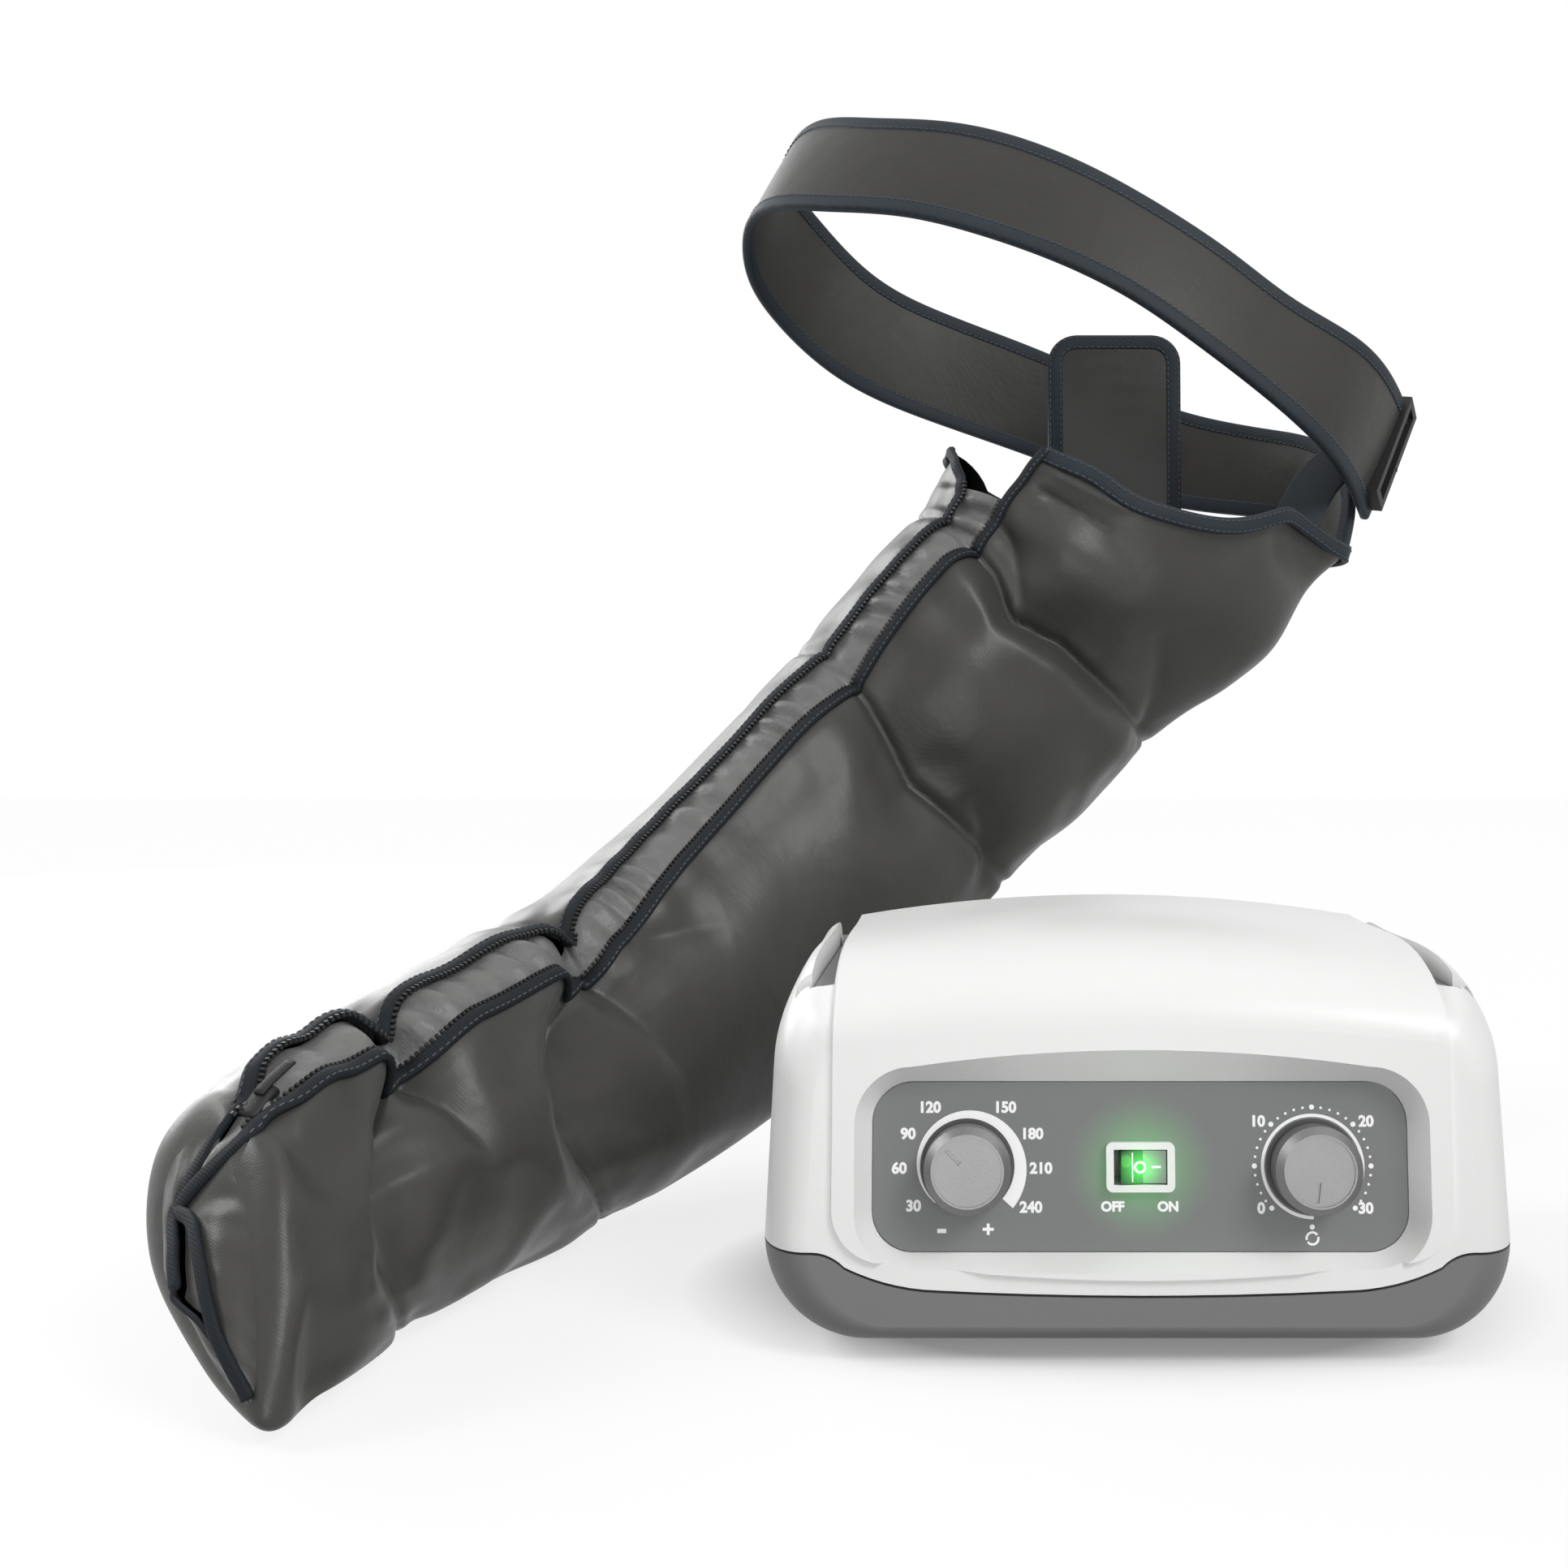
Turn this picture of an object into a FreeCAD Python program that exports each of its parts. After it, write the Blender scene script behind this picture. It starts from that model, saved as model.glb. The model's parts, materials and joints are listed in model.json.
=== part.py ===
import FreeCAD, Part
import Sketcher
import math
import os
import re

from FreeCAD import Placement, Rotation, Vector

# Arm compression massager: a control unit and the inflatable arm sleeve that goes with it.
# Millimetres, +Z up. The unit's front faces -Y, and the origin is on the floor in the middle of the set.

SIZES = {
    # where the middle of the unit stands in the set
    "unit_x": 57,
    "unit_y": -121,
    # casing
    "unit_width": 234,
    "unit_depth": 165,
    "unit_height": 128,
    "foot_height": 4,
    "base_corner": 30,
    "side_lean": 2.5,
    "shoulder_fall": 37,
    "shoulder_reach": 10,
    "shoulder_drop": 13,
    "roof_reach": 17.5,
    "roof_drop": 8.8,
    "front_round": 25,
    "front_inset": 15,
    "front_lift": 8,
    "brow_round": 70,
    "brow_fall": 28,
    "rear_round": 18,
    "rear_inset": 14,
    "front_wall": 22.5,
    "side_wall": 3.5,
    "floor_wall": 5,
    "rear_wall": 8.5,
    "cavity_height": "=unit_height - 55",
    "loft_half": "=unit_width / 2 - 29",
    "loft_rise": 30,
    "mask_rise": 1.6,
    "mask_half": "=unit_width / 2 - 23",
    "mask_bottom": "=unit_height * 0.203",
    "mask_corner": 17,
    "seam_side": "=unit_height * 0.258",
    "seam_front": "=unit_height * 0.16",
    "seam_step_out": "=unit_width / 2 - 17",
    "seam_step_in": "=unit_width / 2 - 55",
    "seam_gap": 0.8,
    # casing screws, feet and air vents
    "post_x": "=unit_width / 2 - 16",
    "post_front": "=unit_depth / 2 - 32.5",
    "post_rear": "=unit_depth / 2 - 22.5",
    "post_radius": 5,
    "post_top": 30,
    "post_gap": 0.3,
    "screw_radius": 1.6,
    "screw_length": 34,
    "screw_seat": 11,
    "screw_head_radius": 3.2,
    "screw_head_height": 2.4,
    "screw_fit": 0.15,
    "foot_x": "=unit_width / 2 - 41",
    "foot_y": "=unit_depth / 2 - 32.5",
    "foot_radius": 9,
    "foot_taper": 1.2,
    "vent_count": 5,
    "vent_pitch": 8,
    "vent_length": 40,
    "vent_width": 3,
    # front panel
    "panel_width": 164,
    "panel_height": 51,
    "panel_corner": 12.5,
    "panel_thick": 2,
    "panel_lean": 6,
    "panel_drop": 7.5,
    "panel_fit": 0.25,
    "panel_ledge": 5,
    "recess": 8,
    "recess_flare": 5,
    "brow_rise": 5,
    # dials
    "dial_x": "=panel_width * 0.323",
    "dial_radius": 13.2,
    "dial_height": 13,
    "dial_bevel": 2.2,
    "dial_lift": 1.4,
    "face_radius": 10.4,
    "face_sink": 0.5,
    "pointer_width": 1.2,
    "pointer_length": 6,
    "pointer_sink": 0.7,
    "pressure_pointer": 135,
    "time_pointer": 262,
    "shaft_radius": 3,
    "shaft_fit": 0.05,
    "shaft_reach": "=dial_height - 4",
    "bush_radius": 4.6,
    "nut_radius": 7,
    "nut_thick": 1,
    "regulator_radius": 13,
    "regulator_depth": 25,
    "timer_side": 34,
    "timer_depth": 22,
    # mains switch
    "bezel_length": 21,
    "bezel_height": 15,
    "bezel_lift": 2.4,
    "bezel_corner": 2,
    "switch_length": 18.6,
    "switch_height": 12.8,
    "switch_depth": 20,
    "switch_wall": 1.1,
    "rocker_length": 14,
    "rocker_height": 9.8,
    "rocker_rise": 2.4,
    "rocker_dish": 1.2,
    "rocker_depth": 6,
    "rocker_pivot": 4.4,
    "rocker_pin_radius": 1.2,
    "rocker_pin_reach": 0.8,
    "rocker_tip": 8,
    "blade_length": 7,
    # carry handle
    "arm_x": "=unit_width / 2 - 18",
    "arm_width": 6.4,
    "arm_height": 10,
    "arm_slack": 0.8,
    "arm_sink": 1.2,
    "hinge_y": "=26.5 - unit_depth / 2",
    "hinge_drop": 23.5,
    "pin_radius": 2,
    "pin_fit": 0.06,
    "pin_reach": 4.5,
    "grip_y": "=unit_depth / 2 - 12.5",
    "grip_rise": 3,
    "grip_radius": 5.5,
    "ledge_y": "=unit_depth / 2 - 24.5",
    "ledge_drop": "=unit_height * 0.328",
    # air pump
    "pump_x": "=unit_width * -0.188",
    "pump_y": "=unit_depth * 0.0485",
    "pump_length": "=unit_width * 0.359",
    "pump_width": "=unit_depth * 0.339",
    "pump_height": "=unit_height * 0.344",
    "pump_round": 6,
    "pump_head_radius": 19,
    "pump_head_length": 7,
    "pump_foot_radius": 6,
    "pump_foot_height": 6,
    "pump_foot_inset": 9,
    # air distributor
    "valve_x": "=unit_width * 0.248",
    "valve_y": "=unit_depth * 0.182",
    "valve_radius": 24,
    "valve_wall": 3.5,
    "rotor_thick": 6,
    "rotor_gap": 0.4,
    "motor_side": 42,
    "lid_thick": 3,
    "nipple_radius": 3,
    "nipple_bore": 1.6,
    "nipple_height": 7,
    "nipple_pitch": 10,
    "nipple_row": 10,
    # air outlets on the rear wall
    "outlet_count": 4,
    "outlet_z": "=unit_height * 0.547",
    "outlet_height": 16,
    "outlet_length": 48,
    "outlet_depth": 14,
    "outlet_proud": 1.5,
    "outlet_radius": 3.5,
    "outlet_bore_depth": 11,
    "tube_fit": 0.05,
    "tube_wall": 1.2,
    "tube_bend": 11,
    "tube_rise": 2,
    # room for the distributor below the outlets
    "stack_height": "=outlet_z - tube_rise - tube_bend - nipple_height - lid_thick - floor_wall - foot_height",
    "motor_height": "=stack_height * 0.474",
    "valve_height": "=stack_height * 0.526",
    # mains inlet and circuit board
    "inlet_x": "=35 - unit_width / 2",
    "inlet_z": "=unit_height * 0.39",
    "inlet_length": 24,
    "inlet_height": 15,
    "inlet_depth": 18,
    "inlet_recess": 13,
    "inlet_lobe": 4.2,
    "inlet_pin_radius": 1.2,
    "inlet_pin_pitch": 8.6,
    "inlet_pin_length": 9,
    "board_x": "=unit_width * 0.231",
    "board_y": "=unit_depth * -0.158",
    "board_length": "=unit_width * 0.342",
    "board_width": "=unit_depth * 0.29",
    "board_thick": 1.6,
    "board_post": 6,
    "board_post_radius": 3,
    "transformer_length": 40,
    "transformer_width": 34,
    "transformer_height": 26,
    # arm sleeve: the middle of the hand end, the forearm, the elbow and the mouth
    "hand_x": -262,
    "hand_y": -125,
    "hand_z": 41,
    "forearm_x": -235,
    "forearm_y": -3,
    "forearm_z": 54.5,
    "elbow_x": -190.5,
    "elbow_y": 105,
    "elbow_z": 76,
    "biceps_x": -80,
    "biceps_y": 214,
    "biceps_z": 182,
    "mouth_x": 47.5,
    "mouth_y": 250,
    "mouth_z": 314.5,
    "hand_tall": 90,
    "elbow_tall": 130,
    "mouth_tall": 176,
    "hand_thick": 52,
    "elbow_thick": 105,
    "mouth_thick": 118,
    "hand_point": 0.5,
    "arm_point": 0.1,
    "hand_wall": 8,
    "chamber_wall": 14,
    "hand_slant": 34,
    "mouth_slant": 28,
    "seam_draw": 7,
    "chamber_gap": 0.4,
    "near_turn": -81,
    "near_rise": 0.16,
    "zip_turn": 43,
    "zip_gap": 18,
    "tape_thick": 2,
    "tape_depth": 5,
    "tape_rise": 2.2,
    "tape_fit": 0.4,
    "gusset_depth": 8,
    "gusset_puff": 3,
    "mouth_dip": 19,
    "mouth_trim": 3,
    "binding_width": 5,
    "hand_panel": 4,
    "slit_width": 7,
    "slit_end": 10,
    "slit_edge": 1.5,
    "slit_edge_start": 3,
    "slider_share": 0.02,
    "slider_length": 8,
    "slider_width": 9,
    "slider_thick": 5,
    "slider_gap": 1.5,
    # hose inlet of the sleeve
    "hose_flange_radius": 15,
    "hose_flange_thick": 4,
    "hose_spigot_radius": 4,
    "hose_spigot_length": 12,
    "hose_bore": 2.2,
    "hose_pitch": 11,
    # shoulder strap, its buckle and the tab
    "strap_x": -6.5,
    "strap_y": 290,
    "strap_z": 382,
    "strap_half_long": 178,
    "strap_half_short": 93,
    "strap_width": 55,
    "strap_thick": 3,
    "strap_dip": 25,
    "strap_tilt": 24,
    "strap_end": 18,
    "buckle_length": 16,
    "buckle_bar": 4,
    "buckle_thick": 6,
    "buckle_fit": 0.4,
    "loop_turn": 178,
    "loop_gap": 0.5,
    "loop_share": 0.97,
    "loop_width": 40,
    "tab_width": 70,
    "tab_height": 91,
    "tab_corner": 15,
    "tab_thick": 4,
    "tab_gap": 0.4,
    "tab_x": 23.5,
    "tab_y": 303,
    "tab_z": 405,
    "tab_lean": 3,
}

# how far along the arm each welded seam lies, from the hand end to the mouth
SEAM_PLACES = (0.0, 0.15, 0.33, 0.69, 0.84, 1.0)
ARM_PLACES = ("hand", "forearm", "elbow", "biceps", "mouth")
CHAMBER_NAMES = ("hand", "forearm", "elbow", "upper_arm", "shoulder")
WORD = re.compile(r"[a-z][a-z_]*")
X_AXIS = Vector(1, 0, 0)
Y_AXIS = Vector(0, 1, 0)
Z_AXIS = Vector(0, 0, 1)

doc = FreeCAD.newDocument("arm_massager")
sheet = doc.addObject("Spreadsheet::Sheet", "sizes")
for row, (alias, number) in enumerate(SIZES.items(), start=1):
    sheet.set(f"A{row}", alias)
    sheet.set(f"B{row}", str(number))
    sheet.setAlias(f"B{row}", alias)
doc.recompute()

nodes = []


def size(alias):
    """The number in a cell of the sheet."""
    return float(sheet.get(alias))


def formula(text):
    """A formula on the sheet's names, written as an expression of the document."""
    return WORD.sub(lambda m: f"sizes.{m.group()}" if m.group() in SIZES else m.group(), str(text))


def bind(item, **formulas):
    """Ties properties of an item to formulas; a double underscore stands for a dot."""
    for path, text in formulas.items():
        item.setExpression(path.replace("__", "."), formula(text))
    return item


def stand(item, x="0", y="0", z="0"):
    """Places an item in the unit, from the middle of its footprint on the floor."""
    bind(item, Placement__Base__x=f"unit_x + ({x})", Placement__Base__y=f"unit_y + ({y})", Placement__Base__z=z)
    return item


def on_panel(item, x="0", up="0", out="0"):
    """Places an item on the front panel: x to the right, up the panel, and out of its face."""
    item.Placement = Placement(Vector(), Rotation(X_AXIS, 90 - size("panel_lean")))
    across = f"unit_depth / 2 + mask_rise + panel_drop * sin(panel_lean) - recess * cos(panel_lean)"
    height = f"(foot_height + unit_height) / 2 - panel_drop * cos(panel_lean) - recess * sin(panel_lean)"
    y = f"-({across}) + ({up}) * sin(panel_lean) - ({out}) * cos(panel_lean)"
    z = f"{height} + ({up}) * cos(panel_lean) + ({out}) * sin(panel_lean)"
    return stand(item, x, y, z)


def block(name, length, width, height, x="0", y="0", z="0"):
    """An upright block of the unit, centred on x and y and standing at height z."""
    item = doc.addObject("Part::Box", name)
    bind(item, Length=length, Width=width, Height=height)
    return stand(item, f"{x} - ({length}) / 2", f"{y} - ({width}) / 2", z)


def rod(name, radius, length, x="0", y="0", z="0", along=Z_AXIS):
    """A round bar of the unit that starts at a point and runs along an axis."""
    item = doc.addObject("Part::Cylinder", name)
    bind(item, Radius=radius, Height=length)
    item.Placement = Placement(Vector(), Rotation(Z_AXIS, along))
    return stand(item, x, y, z)


def plate(name, width, height, depth, x="0", up="0", out="0"):
    """A block in the front panel's frame, centred on x and up, from out towards the viewer."""
    item = doc.addObject("Part::Box", name)
    bind(item, Length=width, Width=height, Height=depth)
    return on_panel(item, f"{x} - ({width}) / 2", f"{up} - ({height}) / 2", out)


def disc(name, radius, depth, x="0", up="0", out="0"):
    """A round bar in the front panel's frame, from out towards the viewer."""
    item = doc.addObject("Part::Cylinder", name)
    bind(item, Radius=radius, Height=depth)
    return on_panel(item, x, up, out)


def fuse(name, *items):
    """The union of several items."""
    item = doc.addObject("Part::MultiFuse", name)
    item.Shapes = list(items)
    return item


def cut(name, base, *tools):
    """An item with one or more others taken out of it."""
    item = doc.addObject("Part::Cut", name)
    item.Base = base
    item.Tool = tools[0] if len(tools) == 1 else fuse(f"{name}_tools", *tools)
    return item


def common(name, base, tool):
    """What two items share."""
    item = doc.addObject("Part::Common", name)
    item.Base = base
    item.Tool = tool
    return item


def group(name, *items):
    """Separate solids of one kind, kept together."""
    item = doc.addObject("Part::Compound", name)
    item.Links = list(items)
    return item


def formed(name, shape):
    """An item whose shape is worked out from the sheet's numbers."""
    item = doc.addObject("Part::Feature", name)
    item.Shape = shape
    return item


def rounded(name, base, radius, picked):
    """An item with the edges that a test picks rounded."""
    doc.recompute()
    item = doc.addObject("Part::Fillet", name)
    item.Base = base
    item.Edges = [(i, radius, radius) for i, edge in enumerate(base.Shape.Edges, start=1) if picked(edge)]
    return item


def runs_along(direction):
    """A test for straight edges along a direction."""

    def test(edge):
        if edge.Curve.TypeId != "Part::GeomLine":
            return False
        return abs(edge.Curve.Direction.dot(direction)) > 0.999

    return test


def rounded_plate(name, width, height, corner, depth):
    """A body padded from a centred rectangle, with its four upright corners rounded."""
    body = doc.addObject("PartDesign::Body", name)
    sketch = body.newObject("Sketcher::SketchObject", f"{name}_outline")
    flat = next(f for f in body.Origin.OriginFeatures if f.Role == "XY_Plane")
    sketch.AttachmentSupport = [(flat, "")]
    sketch.MapMode = "FlatFace"
    corners = [Vector(-1, -1, 0), Vector(1, -1, 0), Vector(1, 1, 0), Vector(-1, 1, 0)]
    for start, end in zip(corners, corners[1:] + corners[:1]):
        sketch.addGeometry(Part.LineSegment(start, end), False)
    for i in range(4):
        sketch.addConstraint(Sketcher.Constraint("Coincident", i, 2, (i + 1) % 4, 1))
    for i, kind in enumerate(("Horizontal", "Vertical", "Horizontal", "Vertical")):
        sketch.addConstraint(Sketcher.Constraint(kind, i))
    sketch.addConstraint(Sketcher.Constraint("Symmetric", 0, 1, 1, 2, -1, 1))
    across = sketch.addConstraint(Sketcher.Constraint("DistanceX", 0, 1, 0, 2, size_of(width)))
    upward = sketch.addConstraint(Sketcher.Constraint("DistanceY", 1, 1, 1, 2, size_of(height)))
    sketch.setExpression(f"Constraints[{across}]", formula(width))
    sketch.setExpression(f"Constraints[{upward}]", formula(height))
    pad = body.newObject("PartDesign::Pad", f"{name}_pad")
    pad.Profile = sketch
    bind(pad, Length=depth)
    doc.recompute()
    round_off = body.newObject("PartDesign::Fillet", f"{name}_corners")
    upright = [f"Edge{i}" for i, e in enumerate(pad.Shape.Edges, start=1) if runs_along(Z_AXIS)(e)]
    round_off.Base = (pad, upright)
    bind(round_off, Radius=corner)
    body.Tip = round_off
    return body


def size_of(text):
    """The number that a name, or a name plus a name, stands for."""
    return sum(size(word) for word in WORD.findall(text))


def keep(label, item):
    """Names an item as one finished piece."""
    item.Label = label
    nodes.append(item)
    return item


def arc(a, b, c):
    """The arc from a through b to c, as an edge."""
    return Part.Arc(a, b, c).toShape()


def line(a, b):
    """The straight edge from a to b."""
    return Part.LineSegment(a, b).toShape()


# Casing


def casing_section(y, side_inset, top_inset, low_inset, lean):
    """The casing's outline across its width at one depth, drawn in by three insets and leaning back."""
    half = size("unit_width") / 2
    low = size("foot_height")
    top = size("unit_height")
    middle = (low + top) / 2
    tall = top - middle
    slope = math.tan(math.radians(lean))

    def point(x, z):
        inset = top_inset if z > middle else low_inset
        rise = (z - middle) * (tall - inset) / tall
        return Vector(x * (half - side_inset) / half, y + rise * slope, middle + rise)

    corner = size("base_corner")
    bulge = corner * (1 - math.cos(math.pi / 4))
    waist = (half - size("side_lean"), top - size("shoulder_fall"))
    shoulder = (half - size("shoulder_reach"), top - size("shoulder_drop"))
    roof = (half - size("roof_reach"), top - size("roof_drop"))
    slope_middle = ((waist[0] + shoulder[0]) / 2 + 1.5, (waist[1] + shoulder[1]) / 2 + 0.8)
    round_middle = ((shoulder[0] + roof[0]) / 2 + 0.7, (shoulder[1] + roof[1]) / 2 + 0.9)

    def half_edges(sign):
        def side_point(x, z):
            return point(sign * x, z)

        return [
            arc(side_point(half - corner, low), side_point(half - bulge, low + bulge), side_point(half, low + corner)),
            line(side_point(half, low + corner), side_point(*waist)),
            arc(side_point(*waist), side_point(*slope_middle), side_point(*shoulder)),
            arc(side_point(*shoulder), side_point(*round_middle), side_point(*roof)),
        ]

    floor = line(point(corner - half, low), point(half - corner, low))
    arch = arc(point(*roof), point(0, top), point(-roof[0], roof[1]))
    return Part.Wire(Part.__sortEdges__([floor, *half_edges(1), arch, *half_edges(-1)]))


def rounding(offset, reach, inset):
    """How far a quarter-ellipse rounding draws the surface in at an offset from the end."""
    left = max(0.0, 1 - offset / reach)
    return inset * (1 - math.sqrt(1 - left * left))


def casing_form(grow):
    """The casing's outer form, a loft from the leaning front to the rear, grown by a margin."""
    front = -size("unit_depth") / 2 - grow
    rear = size("unit_depth") / 2 + grow
    long = size("brow_round")
    short = size("front_round")
    sections = []
    for offset in (0, 0.12 * short, 0.44 * short, short, 0.64 * long, long):
        side = rounding(offset, short, size("front_inset")) - grow
        brow = rounding(offset, long, size("brow_fall")) - grow
        low = rounding(offset, short, size("front_lift")) - grow
        sections.append(casing_section(front + offset, side, brow, low, size("panel_lean") * (1 - offset / long)))
    round_off = size("rear_round")
    for offset in (2 * round_off, round_off, 0.44 * round_off, 0.12 * round_off, 0):
        inset = rounding(offset, round_off, size("rear_inset")) - grow
        sections.append(casing_section(rear - offset, inset, inset, inset, 0))
    return Part.makeLoft(sections, True, False)


def mirrored_outline(right, low, far):
    """A closed wire in the XZ plane: edges from the middle to the right, their mirror image, and an end line."""
    left = [edge.mirror(Vector(), X_AXIS) for edge in right]
    if far is None:
        return Part.Wire(Part.__sortEdges__(right + left))
    ends = [Vector(far, 0, right[-1].Vertexes[-1].Z), Vector(far, 0, low), Vector(-far, 0, low)]
    ends.append(Vector(-far, 0, ends[0].z))
    return Part.Wire(Part.__sortEdges__(right + left + [line(a, b) for a, b in zip(ends, ends[1:])]))


def swept_through(wire):
    """A wire in the XZ plane made into a block through the whole depth of the unit."""
    reach = size("unit_depth")
    face = Part.Face(wire)
    face.translate(Vector(0, -reach, 0))
    return face.extrude(Vector(0, 2 * reach, 0))


def below_seam():
    """Everything below the parting line, which is high at the sides and drops in an S to the front."""
    side, front = size("seam_side"), size("seam_front")
    out, into = size("seam_step_out"), size("seam_step_in")
    drop = side - front
    knee = Vector(out - 0.26 * (out - into), 0, side - 0.34 * drop)
    foot = Vector(into, 0, front + 0.12 * drop)
    far = size("unit_width")
    right = [
        arc(Vector(0, 0, front), Vector(into / 2, 0, front + 0.03 * drop), foot),
        arc(foot, Vector(into + 0.5 * (knee.x - into), 0, foot.z + 0.27 * (knee.z - foot.z)), knee),
        arc(knee, Vector(knee.x + 0.45 * (out - knee.x), 0, knee.z + 0.72 * (side - knee.z)), Vector(out, 0, side)),
        line(Vector(out, 0, side), Vector(far, 0, side)),
    ]
    return swept_through(mirrored_outline(right, -far, far))


def mask_outline():
    """The raised middle of the front and roof, between the two creases."""
    half, low, corner = size("mask_half"), size("mask_bottom"), size("mask_corner")
    top = size("unit_height") * 2
    foot = Vector(half - corner, 0, low + 0.3 * corner)
    right = [
        arc(Vector(0, 0, low), Vector(foot.x / 2, 0, low + 0.08 * corner), foot),
        arc(foot, Vector(half - 0.22 * corner, 0, low + 0.62 * corner), Vector(half, 0, low + 1.3 * corner)),
        line(Vector(half, 0, low + 1.3 * corner), Vector(half, 0, top)),
        line(Vector(half, 0, top), Vector(0, 0, top)),
    ]
    return swept_through(mirrored_outline(right, low, None))


def recess_form():
    """The hollow round the front panel: the panel's outline, flared to a brow that arches over it."""
    fit = size("panel_fit")
    half, rise = size("panel_width") / 2 + fit, size("panel_height") / 2 + fit
    corner, depth = size("panel_corner"), size("recess")

    def outline(out, flare, arch):
        x, low, top = half + flare, -rise - flare, rise + flare
        r = corner + flare
        b = r * (1 - math.cos(math.pi / 4))

        def at(px, py):
            return Vector(px, py, out)

        return Part.Wire(
            [
                line(at(r - x, low), at(x - r, low)),
                arc(at(x - r, low), at(x - b, low + b), at(x, low + r)),
                line(at(x, low + r), at(x, top - r)),
                arc(at(x, top - r), at(x - b, top - b), at(x - r, top)),
                arc(at(x - r, top), at(0, top + arch), at(r - x, top)),
                arc(at(r - x, top), at(b - x, top - b), at(-x, top - r)),
                line(at(-x, top - r), at(-x, low + r)),
                arc(at(-x, low + r), at(b - x, low + b), at(r - x, low)),
            ]
        )

    level = size("mask_rise") / 100
    flare = size("recess_flare")
    wide = outline(2 * depth, 2 * flare, 2 * size("brow_rise"))
    return Part.makeLoft([outline(0, 0, level), wide], True, True)


def screw_places():
    """The four casing screws, as formulas of x and y."""
    return [(side, along) for side in ("post_x", "-post_x") for along in ("-post_front", "post_rear")]


def make_casing():
    """The two shells with their posts, grooves, openings and vents."""
    form = stand(formed("casing_form", casing_form(0)))
    proud = stand(formed("mask_form", casing_form(size("mask_rise"))))
    band = stand(formed("mask_band", mask_outline()))
    outer = fuse("casing_outer", form, common("mask_raised", proud, band))
    inner_width = "unit_width - 2 * (side_wall + side_lean)"
    inner_depth = "unit_depth - front_wall - rear_wall"
    inner_y = "(front_wall - rear_wall) / 2"
    floor = "foot_height + floor_wall"
    main = block("cavity_main", inner_width, inner_depth, "cavity_height", y=inner_y, z=floor)
    bottom = (size("foot_height") + size("floor_wall")) + 0.01

    def low_edge(edge):
        return runs_along(Y_AXIS)(edge) and edge.BoundBox.ZMax < bottom

    main = rounded("cavity_round", main, size("base_corner") - size("side_wall"), low_edge)
    upper_depth = "ledge_y - wall_to_ledge - front_wall + unit_depth / 2".replace("wall_to_ledge", "side_wall")
    upper_y = "(ledge_y - side_wall + front_wall - unit_depth / 2) / 2"
    upper_z = f"{floor} + cavity_height - side_wall"
    loft = block("cavity_loft", "2 * loft_half", upper_depth, "loft_rise + side_wall", y=upper_y, z=upper_z)
    shell = cut("casing_shell", outer, main, loft)
    seam = stand(formed("seam_block", below_seam()))
    raised_seam = stand(formed("seam_block_raised", below_seam()), z="seam_gap")
    make_base(common("base_shell", shell, seam))
    make_upper(cut("upper_shell", shell, raised_seam))


def make_base(shell):
    """The lower tray with its screw posts, board posts, screw holes and vents."""
    posts = []
    holes = []
    for i, (x, y) in enumerate(screw_places()):
        start = "foot_height + floor_wall - 1"
        posts.append(rod(f"base_post_{i}", "post_radius", f"post_top - ({start})", x, y, start))
        holes.append(rod(f"base_hole_{i}", "screw_radius + screw_fit", "post_top * 2", x, y, "0"))
        holes.append(rod(f"base_seat_{i}", "screw_head_radius + 3 * screw_fit", "screw_seat", x, y, "0"))
    for i, (sx, sy) in enumerate(((1, 1), (1, -1), (-1, 1), (-1, -1))):
        x = f"board_x + {sx} * (board_length / 2 - 2 * board_post_radius)"
        y = f"board_y + {sy} * (board_width / 2 - 2 * board_post_radius)"
        posts.append(rod(f"board_post_{i}", "board_post_radius", "board_post + 1", x, y, "foot_height + floor_wall - 1"))
    for i in range(int(size("vent_count"))):
        y = f"pump_y + ({i} - (vent_count - 1) / 2) * vent_pitch"
        holes.append(block(f"vent_{i}", "vent_length", "vent_width", "foot_height + 2 * floor_wall", "pump_x", y, "0"))
    holes.append(block("floor_trim", "2 * unit_width", "2 * unit_depth", "foot_height"))
    keep("base_casing", cut("base", fuse("base_with_posts", shell, *posts), *holes))


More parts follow.
